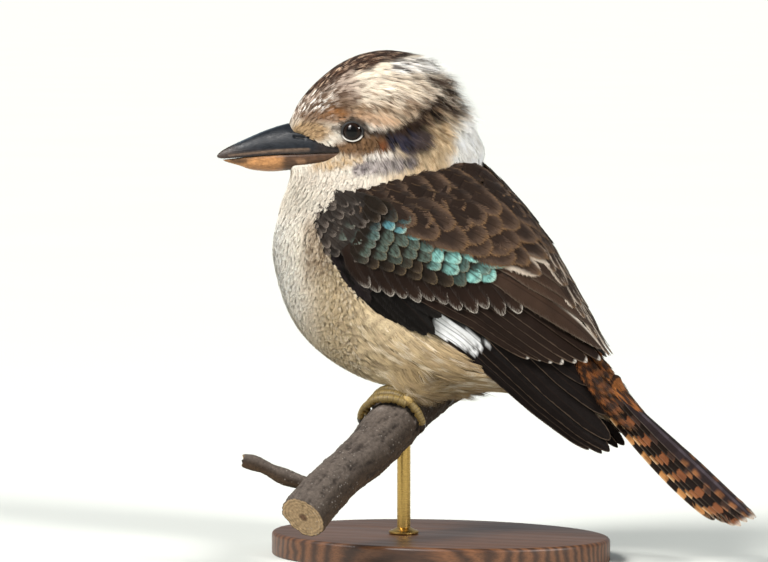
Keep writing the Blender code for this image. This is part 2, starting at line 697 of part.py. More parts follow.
def toe_path(frame, start, end, splay, radius, count):
    """Centres of a toe that wraps the branch from one angle to another, sliding along it by splay."""
    centre, branch_radius, along, top, forward = frame
    share = np.linspace(0, 1, count)
    angle = start + (end - start) * share
    out = branch_radius + radius + GAP
    knuckle = 0.5 * np.abs(np.sin(share * 3 * np.pi)) * (share > 0.05)
    spokes = np.cos(angle)[:, None] * forward + np.sin(angle)[:, None] * top
    slide = splay[0] + (splay[1] - splay[0]) * share**0.7
    return centre + spokes * (out + knuckle)[:, None] + along * slide[:, None], spokes


TOES = (
    ("1", FRONT_TOE_END + 0.12, (-2.6, -8.5)),
    ("2", FRONT_TOE_END, (0.0, 0.5)),
    ("3", FRONT_TOE_END + 0.2, (2.6, 8.5)),
    ("4", HIND_TOE_END, (0.0, -1.5)),
)


def make_leg(side, skin, horn):
    """A foot of four toes with its shank, and four claws that meet the toes' ends."""
    frame = branch_frame(FOOT_Y[side])
    centre, branch_radius, along, top, forward = frame
    pieces = []
    for number, end, splay in TOES:
        path, spokes = toe_path(frame, FOOT_ANGLE, end, splay, TOE_RADIUS, 7)
        radii = TOE_RADIUS * np.interp(np.linspace(0, 1, 7), (0, 0.4, 1), (1.0, 1.0, 0.86))
        pieces.append(new_object(f"toe {number}", *tube(path, radii, 7, 0.95, spokes), skin))
        turn = math.copysign(1, end - FOOT_ANGLE)
        make_claw(f"claw_{side}_{number}", frame, end, turn, splay[1], path, horn)
    foot, _ = toe_path(frame, FOOT_ANGLE, FOOT_ANGLE, (0, 0), TOE_RADIUS, 2)
    knee = np.array(LEG_TOP[side])
    steps = np.linspace(0, 1, 3)[:, None]
    shank = foot[0] * (1 - steps) + knee * steps
    leg = new_object("leg_" + side, *tube(shank, LEG_RADIUS, 8, 1.0, forward), skin)
    spoke = (foot[0] - centre) / np.linalg.norm(foot[0] - centre)
    pad = centre + spoke * (branch_radius + PAD_RADIUS + GAP)
    join_pieces(leg, pieces + [new_object("pad", *ellipsoid(pad, (PAD_RADIUS,) * 3, 5, 8), skin)])
    return leg


def make_claw(name, frame, start, turn, slide, path, horn):
    """A curved claw past a toe's end, its flat root parallel to the toe's end."""
    centre, branch_radius, along, top, forward = frame
    out = branch_radius + TOE_RADIUS + GAP
    sweep = CLAW_LENGTH / out
    share = np.linspace(0, 1, 5)
    angle = start + turn * (sweep * share + GAP / out)
    spokes = np.cos(angle)[:, None] * forward + np.sin(angle)[:, None] * top
    height = out - 1.9 * share**1.4
    centres = centre + spokes * height[:, None] + along * slide
    radii = np.interp(share, (0, 0.5, 1), (2.1, 1.4, 0.35))
    last = path[-1] - path[-2]
    last /= np.linalg.norm(last)
    centres = centres - centres[0] + path[-1] + last * GAP
    points, faces = tube(centres, radii, 6, 1.0, spokes)
    root = points[:6]
    root -= ((root - centres[0]) @ last)[:, None] * last
    points[-2] = centres[0]
    new_object(name, points, faces, horn)


def leg_sockets():
    """Room for each shank in the belly, and for the branch and toes under it."""
    cutters = []
    for side in ("left", "right"):
        frame = branch_frame(FOOT_Y[side])
        foot, _ = toe_path(frame, FOOT_ANGLE, FOOT_ANGLE, (0, 0), TOE_RADIUS, 2)
        knee = np.array(LEG_TOP[side])
        reach = (knee - foot[0]) / np.linalg.norm(knee - foot[0])
        steps = np.linspace(0, 1, 5)[:, None]
        line = foot[0] * (1 - steps) + (knee + reach * GAP) * steps
        cutters.append(new_object("socket " + side, *tube(line, LEG_RADIUS + GAP, 10, 1.0, frame[4])))
    cutters.append(new_object("branch room", *branch_tube(2 * PAD_RADIUS + 1.2, 3.0, len(BRANCH) - 1, 16, 20)))
    return cutters


def bill_arc(outer, mouth, half, power):
    """Half a bill's section from its left mouth edge over its ridge or keel to the right: rows of (y, z)."""
    t = np.linspace(0, np.pi, BILL_ARC)
    y = -np.cos(t) * half * (1 - 0.12 * np.sin(t) ** 2)
    z = mouth + (outer - mouth) * np.abs(np.sin(t)) ** power
    return np.stack([y, z], axis=1)


def bill_half(rows, gap, power):
    """A half bill: a rounded outer side and a flat mouth side, which is moved by gap."""
    rings = []
    for x, outer, mouth, half in rows:
        arc = bill_arc(outer, mouth + gap, half, power)
        rings.append(np.column_stack([np.full(BILL_ARC, x), arc]))
    points, faces = closed_rings(rings)
    return turn_head(points), faces


def bill_room():
    """What the head gives up for both halves of the bill and the gap round them."""
    upper, lower = np.array(UPPER_BILL), np.array(LOWER_BILL)
    stations = np.unique(np.concatenate([upper[3:, 0], lower[3:, 0]]))
    stations[-1] += GAP
    rings = []
    for x in stations:
        top, mouth, half = (np.interp(x, upper[:, 0], upper[:, k]) for k in (1, 2, 3))
        keel, low_half = (np.interp(x, lower[:, 0], lower[:, k]) for k in (1, 3))
        wide = max(half, low_half) + GAP
        over = bill_arc(top + 1.3 * GAP, mouth, wide, UPPER_POWER)
        under = bill_arc(keel - 1.3 * GAP, mouth, wide, LOWER_POWER)[-2:0:-1]
        loop = np.concatenate([over, under])
        rings.append(np.column_stack([np.full(len(loop), x), loop]))
    points, faces = closed_rings(rings)
    return new_object("bill room", turn_head(points), faces)


def make_bill(dark, pale):
    new_object("bill_upper", *bill_half(UPPER_BILL, GAP / 2, UPPER_POWER), dark)
    new_object("bill_lower", *bill_half(LOWER_BILL, -GAP / 2, LOWER_POWER), pale)


def eye_places():
    """Centre and outward direction of each eye, set into the head's surface before it is turned."""
    angles = np.arange(64) / 64 * 2 * np.pi
    rings = [body_surface(u, angles) for u in np.linspace(0, HEAD_END, 49)]
    points, faces = closed_rings(rings)
    tree = BVHTree.FromPolygons(points.tolist(), faces)
    places = {}
    for side, sign in (("left", -1), ("right", 1)):
        start = Vector((EYE_XZ[0], sign * 100.0, EYE_XZ[1]))
        spot, normal, _, _ = tree.ray_cast(start, Vector((0, -sign, 0)))
        outwards = np.array(normal) * (1 if normal[1] * sign > 0 else -1)
        outwards = outwards * 0.5 + np.array([-0.12, sign * 0.6, 0.03])
        outwards /= np.linalg.norm(outwards)
        places[side] = (np.array(spot) - outwards * EYE_SINK, outwards)
    return places


def make_eyes(places, glass):
    """Eyeballs, and what the head needs round them: sockets to cut and lids to join."""
    sockets, lids = [], []
    for side, (centre, outwards) in places.items():
        points, faces = ellipsoid(centre, (EYE_RADIUS,) * 3, 8, 12)
        new_object("eye_" + side, turn_head(points), faces, glass)
        points, faces = ellipsoid(centre, (EYE_RADIUS + GAP,) * 3, 8, 12)
        sockets.append(new_object("socket", turn_head(points), faces))
        across = np.cross(outwards, (0, 0, 1.0))
        across /= np.linalg.norm(across)
        up = np.cross(across, outwards)
        middle = centre + outwards * (EYE_SINK + 0.2)
        turns, sides = 14, 5
        points = []
        for i in range(turns):
            t = 2 * math.pi * i / turns
            spoke = math.cos(t) * across * 1.08 + math.sin(t) * up * 0.92
            for j in range(sides):
                s = 2 * math.pi * j / sides
                reach = LID_RADIUS + LID_THICK * math.cos(s)
                points.append(middle + spoke * reach + outwards * (LID_THICK * math.sin(s)))
        faces = []
        for i in range(turns):
            for j in range(sides):
                a, b = i * sides + j, i * sides + (j + 1) % sides
                c, d = (i + 1) % turns * sides + j, (i + 1) % turns * sides + (j + 1) % sides
                faces += [(a, c, d), (a, d, b)]
        lids.append(new_object("lid", turn_head(points), outward(np.array(points), faces)))
    return sockets, lids


def crest_place(a, q, lift):
    """Crown coordinates: a back from the forehead and q down the left, both in millimetres, and lift."""
    points = body_surface(np.clip(a, 0, 99) / 14.5 + 2.0, q / 27.0, np.asarray(lift, float))
    return turn_head(points)


# Rows of crown feathers: distance back, count, half spread across the crown, length, lift of the tips.
CREST_ROWS = ((40, 4, 13, 20, 4.0), (54, 5, 20, 19, 4.5), (67, 6, 25, 18, 5.0))
CREST_WIDTH = 10.0


def crest_pieces(finish):
    rng = np.random.default_rng(7)
    made = []
    for back, count, spread, length, high in CREST_ROWS:
        for q in np.linspace(-spread, spread, count):
            reach = length * rng.uniform(0.85, 1.15)
            tip = (back + reach, q * rng.uniform(1.0, 1.12))
            piece = vane(crest_place, (back, q), tip, CREST_WIDTH, -2.2, high * rng.uniform(0.7, 1.1), 0.0, 0.9,
                         COVERT_SHAPE)
            made.append(new_object("crest", *piece, finish))
    return made


def tail_place(s, c, lift):
    """Tail coordinates: s along the ridge line, c across (left is negative), lift off the roof."""
    s, c, lift = (np.atleast_1d(np.asarray(v, float)) for v in np.broadcast_arrays(s, c, lift))
    y = c * math.cos(TAIL_ROOF)
    up = lift - math.sin(TAIL_ROOF) * (np.hypot(c, 4.0) - 4.0)
    roll = TAIL_ROLL * smooth_step(s, 20.0, 80.0)
    y, up = y * np.cos(roll) - up * np.sin(roll), up * np.cos(roll) + y * np.sin(roll)
    along = (math.cos(TAIL_SLOPE), -math.sin(TAIL_SLOPE))
    x = TAIL_START[0] + s * along[0] - up * along[1]
    z = TAIL_START[1] + s * along[1] + up * along[0]
    return np.stack([x, y, z], axis=1)


def make_tail(finish):
    """Twelve tail feathers, the middle pair on top, with coverts over and under their roots."""
    core = body_length("tail", TORSO_END, TAIL_CORE_END, 5, finish, gap_start=GAP)
    pieces = []
    for i, (c_tip, width) in enumerate(TAIL_PAIRS):
        for sign in (-1, 1):
            root = (22.0, sign * (1.5 + 1.5 * i))
            tip = (TAIL_LENGTH - 2.4 * i, sign * c_tip)
            drop = 1.1 * i + (0.55 if sign > 0 else 0)
            pieces.append(vane(tail_place, root, tip, width, -8.0 - drop, -drop, 0.0, 0.7, FLIGHT_SHAPE))
    for reach, count, spread, length in ((24.0, 3, 9.0, 22.0), (27.0, 4, 12.0, 36.0)):
        for c in np.linspace(-spread, spread, count):
            tip = (reach + length * (1 - abs(c) / 60), c * 1.3)
            pieces.append(vane(tail_place, (reach, c), tip, 11.0, -5.0, 2.2, 0.0, 0.8, COVERT_SHAPE))
    for c in (-8.0, 0.0, 8.0):
        tip = (62.0 - abs(c), c * 1.4)
        pieces.append(vane(tail_place, (26.0, c * 0.8), tip, 12.0, -18.0, -13.0, 0.0, 0.8, COVERT_SHAPE))
    join_pieces(core, [new_object("feather", *piece, finish) for piece in pieces], "MANIFOLD")


def clear_scene():
    for thing in list(bpy.data.objects):
        bpy.data.objects.remove(thing)


def finish_shading():
    """Smooth shading with creases kept, and each mesh named after its object."""
    for thing in bpy.data.objects:
        thing.data.name = thing.name
        thing.data.shade_smooth()
        thing.data.set_sharp_from_angle(angle=math.radians(40))


def main():
    clear_scene()
    cream = material("cream_plumage", (0.72, 0.62, 0.47), 0.85)
    brown = material("dark_brown_feathers", (0.07, 0.045, 0.032), 0.6)
    rufous = material("barred_rufous_feathers", (0.33, 0.14, 0.05), 0.65)
    dark_horn = material("black_horn", (0.03, 0.032, 0.036), 0.35)
    pale_horn = material("buff_horn", (0.62, 0.32, 0.15), 0.4)
    glass = material("dark_eye", (0.012, 0.008, 0.006), 0.08)
    skin = material("yellow_scaled_skin", (0.62, 0.42, 0.1), 0.55)
    bark = material("grey_brown_bark", (0.12, 0.085, 0.065), 0.9)
    wood = material("dark_stained_wood", (0.11, 0.06, 0.035), 0.4)
    metal = material("brushed_brass", (0.6, 0.45, 0.2), 0.35, 1.0)

    surface = WingSurface()
    places = eye_places()

    head = body_length("head", 0.0, HEAD_END, 12, cream, gap_end=GAP / 2)
    sockets, lids = make_eyes(places, glass)
    make_bill(dark_horn, pale_horn)
    join_pieces(head, lids + crest_pieces(cream), "MANIFOLD")
    cut(head, sockets + [bill_room()])

    neck = body_length("neck", HEAD_END, NECK_END, 5, cream, GAP / 2, GAP / 2)
    cut(neck, wing_room(surface))

    torso = body_length("torso", NECK_END, TORSO_END, 17, cream, gap_start=GAP / 2)
    thighs = [new_object("thigh", *ellipsoid(THIGHS[s], THIGH_RADII), cream) for s in ("left", "right")]
    join_pieces(torso, thighs)
    cut(torso, wing_room(surface) + leg_sockets())

    make_wings(surface, brown)
    make_tail(rufous)
    make_leg("left", skin, dark_horn)
    make_leg("right", skin, dark_horn)
    rod_top, rod_x = make_perch(bark)
    make_stand(rod_top, rod_x, wood, metal)
    finish_shading()


main()
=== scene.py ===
"""Laughing kookaburra, life size and still, gripping a cut branch on a plain stand: the look of every surface.

The bird faces -X with +Z up, and its left side, which the picture shows, is at -Y. Lengths are in millimetres
until a mesh is made, and every surface is worked out as whole numpy arrays.
"""
import math
from functools import partial

import bpy
import numpy as np
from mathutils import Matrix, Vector


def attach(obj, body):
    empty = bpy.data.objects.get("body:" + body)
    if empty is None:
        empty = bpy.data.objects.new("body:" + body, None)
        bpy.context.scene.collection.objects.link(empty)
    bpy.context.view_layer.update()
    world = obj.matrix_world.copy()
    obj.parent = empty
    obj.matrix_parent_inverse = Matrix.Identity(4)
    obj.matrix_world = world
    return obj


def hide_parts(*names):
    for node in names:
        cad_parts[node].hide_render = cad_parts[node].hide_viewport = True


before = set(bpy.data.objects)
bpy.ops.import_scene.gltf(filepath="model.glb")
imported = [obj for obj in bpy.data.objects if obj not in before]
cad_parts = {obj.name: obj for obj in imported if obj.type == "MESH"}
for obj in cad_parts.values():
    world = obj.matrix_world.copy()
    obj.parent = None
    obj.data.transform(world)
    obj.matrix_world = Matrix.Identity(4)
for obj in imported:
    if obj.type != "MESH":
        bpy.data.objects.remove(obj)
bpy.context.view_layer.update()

MM = 0.001
TURN = 2 * np.pi

# Picture: 768 pixels wide, 0.6 mm to a pixel at the bird.
PICTURE_WIDTH = 768
MM_PER_PIXEL = 0.6
SENSOR = 36
CAMERA_DISTANCE = 2800
CAMERA_AZIMUTH, CAMERA_ELEVATION = math.radians(18), math.radians(4)
CAMERA_TARGET = (-35.3, 0, 165)
FLOOR_REACH = 60000

# The head is turned to the bird's left about an upright line through the neck.
HEAD_TURN = math.radians(18)
HEAD_PIVOT_X = -31.5
TURN_START_Z, TURN_FULL_Z = 200, 235

# The body from the bill to the tail: throat or belly point (x, z), crown or back point (x, z), half width.
BODY_STATIONS = (
    (-91, 231.5, -92, 259.5, 9.5),
    (-91, 228.5, -85.5, 272.7, 14),
    (-91.5, 225.5, -74.7, 285, 18.5),
    (-92.5, 222.5, -61, 295.5, 22),
    (-93.7, 219, -46.5, 301.5, 25),
    (-95.5, 215, -29, 303, 27.5),
    (-97.5, 211, -11.5, 296.5, 29),
    (-99.5, 206.5, 2, 283, 30),
    (-101, 201.5, 9.5, 269, 31),
    (-102.5, 195.5, 18.5, 257.5, 33),
    (-103.7, 189, 25, 245, 35.5),
    (-104, 180, 27.5, 231.5, 38.5),
    (-101.5, 167.5, 36, 218.5, 41),
    (-96.5, 151.5, 50, 203, 43),
    (-88, 136, 61, 187, 44),
    (-75.5, 123, 71.5, 171, 43.5),
    (-59.5, 112.5, 83, 156, 41.5),
    (-40, 104.5, 92, 143, 38),
    (-14, 100, 99, 131, 33.5),
    (13, 99.5, 105, 121, 28.5),
    (40, 97.5, 110, 114.5, 23.5),
    (66, 91.5, 115, 109, 19.5),
    (88, 84, 120.5, 103.5, 16),
    (104, 76, 130, 95, 13.5),
    (121, 68.5, 142, 85, 9),
)
LAST_STATION = len(BODY_STATIONS) - 1
BODY_SQUARENESS = 2.25
FACE_FRONT_X = -92
FACE_HALF, FACE_SLOPE, FACE_CURVE = 12.3, 0.16, 0.0031
FACE_LOW_Z, FACE_FULL_Z = 200, 234
THROAT_ROOM = 40
FACE_SHARPNESS = 8
# Depth of the coat by station: thin round the bill, deep on the breast.
COAT_DEPTH = ((0, 2.5, 5, 8, 11, 14, 20, 24), (0.8, 1, 1.7, 2.6, 4.2, 5, 4.5, 2.5))

EYE_XZ = (-53.7, 255.7)
EYE_RADIUS = 7.6
EYE_SINK = 5
LID_RADIUS, LID_THICK = 6.1, 0.75

# Bill profiles along x: ridge or keel height, mouth edge height, half width.
UPPER_BILL = (
    (-135, 240.6, 239.3, 0.7),
    (-133, 242.6, 238.6, 1.7),
    (-128.7, 245.3, 238.6, 3.2),
    (-117.9, 250.4, 239.6, 5.9),
    (-104.7, 256, 241, 8.6),
    (-92.7, 259.6, 241.7, 11.6),
    (-81.3, 260.5, 242.1, 14.4),
    (-70, 257.5, 242.7, 16.8),
    (-60, 252.5, 243, 18.6),
)
LOWER_BILL = (
    (-131.6, 237.6, 238, 0.8),
    (-128.5, 236.3, 238.3, 2.2),
    (-121.5, 234.3, 239.1, 4.2),
    (-114.3, 231.9, 239.9, 6),
    (-102.9, 230.8, 240.8, 8.4),
    (-92.7, 231.6, 241.4, 11.3),
    (-81.3, 232.6, 241.8, 14.1),
    (-70, 234.5, 242.4, 16.4),
    (-60, 236.5, 242.7, 18.2),
)
UPPER_POWER, LOWER_POWER = 0.85, 0.55
MOUTH_GAP = 0.15

# The folded wing lies on a curved sheet: a runs from the shoulder to the wing tip, h up towards the back.
WING_ORIGIN = (-55.7, 213.1)
WING_SLOPE = math.radians(40.75)
WING_SECTIONS_A = (-8, 20, 50, 80, 110, 140, 170, 200, 230)
WING_HALF_WIDTH = (33, 36, 37.5, 37, 34.5, 30, 24.5, 19.5, 15.5)
WING_RIDGE_H = (78, 73, 68, 62.5, 56, 46, 36, 28, 22)
WING_WIDEST_H = (2, 6, 8, 9, 10, 9, 7, 5, 3)
WING_LOWER_REACH = (60, 60, 60, 58, 52, 46, 40, 34, 28)
WING_SQUARENESS = 2.3
RIDGE_MARGIN = 2.2
WING_LOWER_EDGE = ((-7, 16, 33, 58, 78, 100, 134, 158, 180, 200, 226),
                   (-17, -30, -38, -40, -33, -27, -21, -19.5, -19, -17, -11))
WING_UPPER_EDGE = ((-5.5, -4.5, 2.5, 11.5, 20.5, 33.5, 40.5, 46, 120, 140, 160, 176, 188, 194, 208, 226),
                   (-8, 1, 15.5, 28.5, 40, 55, 65.5, 84, 84, 62, 55, 46, 37, 30, 22, 6))

# Branch centreline points (x, y, z) and radius, from the cut near end to the far end.
BRANCH = (
    (-48.8, -110, 34.5, 14.6),
    (-43.6, -95, 45, 14.2),
    (-37.1, -78, 55, 13.4),
    (-29.8, -55, 65, 14.6),
    (-24.6, -29, 76.9, 15.9),
    (-19.2, -3, 88.8, 16.1),
    (-13.4, 24, 98.3, 15.8),
    (-6.8, 52, 104.6, 15.2),
    (-4.2, 64, 106.6, 15),
)
TWIG_ROOT, TWIG_TIP = (-42.5, -93, 45.5), (-88, -104, 65.5)
FOOT_Y = {"left": -18, "right": 17}
TOE_RADIUS, PAD_RADIUS = 2.7, 3.7
TOE_GAP = 0.3
FOOT_ANGLE, FRONT_TOE_END, HIND_TOE_END = math.radians(128), math.radians(10), math.radians(180)
CLAW_LENGTH = 8
LID_GRID = (120, 24)
LINING_GRID = (90, 40)
LEG_TOP = {"left": (4, -20, 121), "right": (8, 20, 131)}
THIGHS = ((-2, -20, 114), (4, 20, 122))
THIGH_RADII = (24, 15.5, 17)
THIGH_BLEND = 3
RIBBON_STOPS = (0, 0.66, 1)
STOP_OF_POINT = (0, 0, 1, 1, 2)
PATCH = 0.003
MAP_LONG, MAP_WIDE = 240, 140
BAR_PERIOD = 9.5
RIBBON_TAPER = (0.85, 1, 0)

# The tail: start of its ridge line, slope, roll and roof.
TAIL_START = (108.5, 119.4)
TAIL_SLOPE, TAIL_ROLL, TAIL_ROOF = math.radians(42.3), math.radians(12), math.radians(25)
TAIL_SAG = 8

BASE_RADII, BASE_THICK, BASE_EDGE = (104, 70), 14, 2.5
ROD_RADIUS, ROD_Y, ROD_DEPTH = 4, -8, 6
COLLAR_RADIUS, COLLAR_HEIGHT = 9, 4


# Numbers and curves.

def linear(code):
    """A colour written as sRGB hex, as linear red, green and blue."""
    srgb = np.array([int(code[i:i + 2], 16) for i in (1, 3, 5)]) / 255
    return np.where(srgb <= 0.04045, srgb / 12.92, ((srgb + 0.055) / 1.055) ** 2.4)


def eased(value, low, high):
    """0 below low, 1 above high, eased between."""
    t = np.clip((value - low) / (high - low), 0, 1)
    return t * t * (3 - 2 * t)


def smooth_table(rows, at):
    """Values between a table's rows by a Catmull-Rom curve, at fractional row numbers of any shape."""
    rows, at = np.asarray(rows, float), np.asarray(at, float)
    last = len(rows) - 1
    i = np.clip(np.floor(at).astype(int), 0, last - 1)
    t = (at - i)[..., None]
    here, there = rows[i], rows[i + 1]
    before = np.where((i == 0)[..., None], 2 * here - there, rows[np.maximum(i - 1, 0)])
    beyond = np.where((i + 2 > last)[..., None], 2 * there - here, rows[np.minimum(i + 2, last)])
    return 0.5 * (2 * here + (there - before) * t + (2 * before - 5 * here + 4 * there - beyond) * t**2
                  + (3 * here - before - 3 * there + beyond) * t**3)


def unit(vectors):
    """Vectors scaled to length one."""
    return vectors / np.maximum(np.linalg.norm(vectors, axis=-1, keepdims=True), 1e-9)


def run_along(points):
    """Length along a line of points, from the first to each."""
    return np.concatenate([[0], np.cumsum(np.linalg.norm(np.diff(points, axis=0), axis=1))])


def along_line(points, count):
    """Points spaced evenly along a line through points."""
    points = np.asarray(points, float)
    run = run_along(points)
    at = run[-1] * np.linspace(0, 1, count)
    return packed(*(np.interp(at, run, column) for column in points.T))


def packed(*parts):
    """Arrays and numbers, broadcast to one shape, as the last axis of one array."""
    return np.stack(np.broadcast_arrays(*parts), axis=-1)


def turned(count, shift=0):
    """Angles evenly round a circle; shift is in steps."""
    return (np.arange(count) + shift) / count * TURN


def lattice_value(cell, seed):
    """A fixed pseudo-random number from 0 to 1 for each whole-number lattice point."""
    mixed = cell[..., 0] * 374761393 + cell[..., 1] * 668265263 + cell[..., 2] * 2147483647 + seed * 1274126177
    mixed = (mixed ^ (mixed >> 13)) * 1274126177 & 0x7FFFFFFF
    return ((mixed ^ (mixed >> 16)) & 0xFFFF) / 0xFFFF


def cloud(points, size, seed=0):
    """Smooth noise from -1 to 1 with features about size across: eased blends of lattice values."""
    at = np.asarray(points, float) / size
    low = np.floor(at).astype(np.int64)
    ease = at - low
    ease = ease * ease * (3 - 2 * ease)
    total = 0
    for corner in np.ndindex(2, 2, 2):
        share = np.where(corner, ease, 1 - ease).prod(axis=-1)
        total = total + share * lattice_value(low + np.array(corner), seed)
    return total * 2 - 1


# Meshes and materials.

def make_piece(name, points, faces, finish, corner_maps=None, attributes=None, tint=None):
    """A piece of the bird from points in millimetres and arrays of faces with equal numbers of corners.

    corner_maps gives a UV per face corner by map name. attributes gives a value per point by name, three
    numbers for a vector and four for a colour, and tint the colour of each point.
    """
    faces = [np.asarray(f, np.int32) for f in (faces if isinstance(faces, list) else [faces])]
    corners = np.concatenate([f.ravel() for f in faces])
    counts = np.concatenate([np.full(len(f), f.shape[1], np.int32) for f in faces])
    mesh = bpy.data.meshes.new(name)
    mesh.vertices.add(len(points))
    mesh.vertices.foreach_set("co", (np.asarray(points) * MM).astype(np.float32).ravel())
    mesh.loops.add(len(corners))
    mesh.loops.foreach_set("vertex_index", corners)
    mesh.polygons.add(len(counts))
    mesh.polygons.foreach_set("loop_start", np.concatenate([[0], np.cumsum(counts)[:-1]]).astype(np.int32))
    mesh.polygons.foreach_set("use_smooth", np.ones(len(counts), bool))
    mesh.update(calc_edges=True)
    for label, uv in (corner_maps or {}).items():
        layer = mesh.uv_layers.new(name=label)
        layer.data.foreach_set("uv", np.asarray(uv, np.float32).ravel())
    own = {} if tint is None else {"tint": opaque(tint)}
    for label, values in {**own, **(attributes or {})}.items():
        values = np.asarray(values, np.float32)
        if values.shape[1] == 4:
            layer = mesh.color_attributes.new(label, "FLOAT_COLOR", "POINT")
            layer.data.foreach_set("color", values.ravel())
        else:
            layer = mesh.attributes.new(label, "FLOAT_VECTOR", "POINT")
            layer.data.foreach_set("vector", values.ravel())
    mesh.materials.append(finish)
    piece = bpy.data.objects.new(name, mesh)
    bpy.context.scene.collection.objects.link(piece)
    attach(piece, "root")
    return piece


def opaque(colours):
    """Linear colours with a full fourth channel."""
    colours = np.asarray(colours, float)
    return np.concatenate([colours, np.ones(colours.shape[:-1] + (1,))], axis=-1)


def grid_faces(rows, columns, wrap=False):
    """Four-cornered faces of a grid of points numbered row by row; wrap joins the last column to the first."""
    i, j = np.meshgrid(np.arange(rows - 1), np.arange(columns if wrap else columns - 1), indexing="ij")
    k = (j + 1) % columns
    quads = np.stack([i * columns + j, i * columns + k, (i + 1) * columns + k, (i + 1) * columns + j], axis=-1)
    return quads.reshape(-1, 4)


def grid_rim(rows, columns):
    """The numbers of a grid's outer points, in order round it."""
    size = rows * columns
    return np.concatenate([np.arange(columns - 1), np.arange(rows - 1) * columns + columns - 1,
                           size - 1 - np.arange(columns - 1), (rows - 1 - np.arange(rows - 1)) * columns])


def shell_faces(rows, columns):
    """Faces of a closed shell: an upper grid, an under grid numbered after it, and sides round their rims."""
    top, rim, size = grid_faces(rows, columns), grid_rim(rows, columns), rows * columns
    following = np.roll(rim, -1)
    return np.concatenate([top, top[:, ::-1] + size, packed(rim, rim + size, following + size, following)])


def closed_tube(rings):
    """Points and faces of a tube from rings (rows, around, 3), closed at both ends by a centre point."""
    rows, around = rings.shape[:2]
    points = np.concatenate([rings.reshape(-1, 3), rings[:1].mean(axis=1), rings[-1:].mean(axis=1)])
    j = np.arange(around)
    k = (j + 1) % around
    first = np.stack([np.full(around, rows * around), k, j], axis=1)
    base = (rows - 1) * around
    last = np.stack([np.full(around, rows * around + 1), base + j, base + k], axis=1)
    faces = [grid_faces(rows, around, wrap=True), np.concatenate([first, last])]
    return points, face_outward(points, faces)


def cap_tints(colours):
    """A tube's colours with one for each of its two centre points."""
    return np.concatenate([colours.reshape(-1, 3), colours[0, :1], colours[-1, :1]])


def face_outward(points, faces):
    """The faces, all turned round if they enclose a negative volume."""
    volume = 0
    for f in faces:
        for k in range(1, f.shape[1] - 1):
            volume += np.einsum("ij,ij->i", points[f[:, 0]], np.cross(points[f[:, k]], points[f[:, k + 1]])).sum()
    return faces if volume > 0 else [f[:, ::-1] for f in faces]


def joined(parts):
    """Several (points, faces) as one, with the faces renumbered."""
    points = np.concatenate([p for p, _ in parts])
    start = np.cumsum([0] + [len(p) for p, _ in parts])
    faces = [f + s for (_, fs), s in zip(parts, start) for f in fs]
    by_corners = {}
    for f in faces:
        by_corners.setdefault(f.shape[1], []).append(f)
    return points, [np.concatenate(group) for group in by_corners.values()]


def new_material(name):
    """A new material, the function that adds its nodes, and its Principled shader."""
    made = bpy.data.materials.new(name)
    made.use_nodes = True
    tree = made.node_tree
    return made, partial(add_node, tree), next(n for n in tree.nodes if n.type == "BSDF_PRINCIPLED")


def add_node(tree, kind, inputs=None, **settings):
    """Adds a node: settings are its own properties, inputs are values or links by socket name or number."""
    node = tree.nodes.new("ShaderNode" + kind)
    for key, value in settings.items():
        setattr(node, key, value)
    connect(node, inputs or {})
    return node


def connect(node, inputs):
    """Sets a node's inputs to values, or links them from sockets; a node stands for its first output."""
    for key, value in inputs.items():
        if isinstance(value, bpy.types.Node):
            value = value.outputs[0]
        if isinstance(value, bpy.types.NodeSocket):
            node.id_data.links.new(value, node.inputs[key])
        else:
            node.inputs[key].default_value = value


def rgba(code):
    """A hex colour for a node's colour socket."""
    return (*linear(code), 1)


def grained_material(name, sockets, grain, shade=None, hues=None, relief=None, texture="TexNoise"):
    """A material from one fine texture, whose inputs are grain.

    shade (from, to, low, high) is how the texture scales the piece's own tint, and hues are two colours that it
    mixes instead. relief is the strength of its bump and the depth in metres, below 0 where high values sink.
    """
    made, add, shader = new_material(name)
    coords = add("TexCoord").outputs["Object"]
    fine = add(texture, {"Vector": coords, **grain})
    if hues:
        colour = add("Mix", {0: fine, 6: rgba(hues[0]), 7: rgba(hues[1])}, data_type="RGBA").outputs[2]
    else:
        colour = add("Attribute", attribute_name="tint")
    if shade:
        share = add("MapRange", {0: fine, **dict(enumerate(shade, 1))})
        colour = add("VectorMath", {0: colour, "Scale": share}, operation="SCALE")
    connect(shader, {"Base Color": colour, **sockets})
    if relief:
        bump = {"Height": fine, "Strength": relief[0], "Distance": abs(relief[1])}
        connect(shader, {"Normal": add("Bump", bump, invert=relief[1] < 0)})
    return made


# The bird's surfaces.

def face_limit(x, z):
    """The most that the head measures from its middle to its side: a parabola in x, let go over the throat."""
    behind = np.maximum(x - FACE_FRONT_X, 0)
    limit = FACE_HALF + FACE_SLOPE * behind + FACE_CURVE * behind**2
    return limit + THROAT_ROOM * (1 - eased(z, FACE_LOW_Z, FACE_FULL_Z))


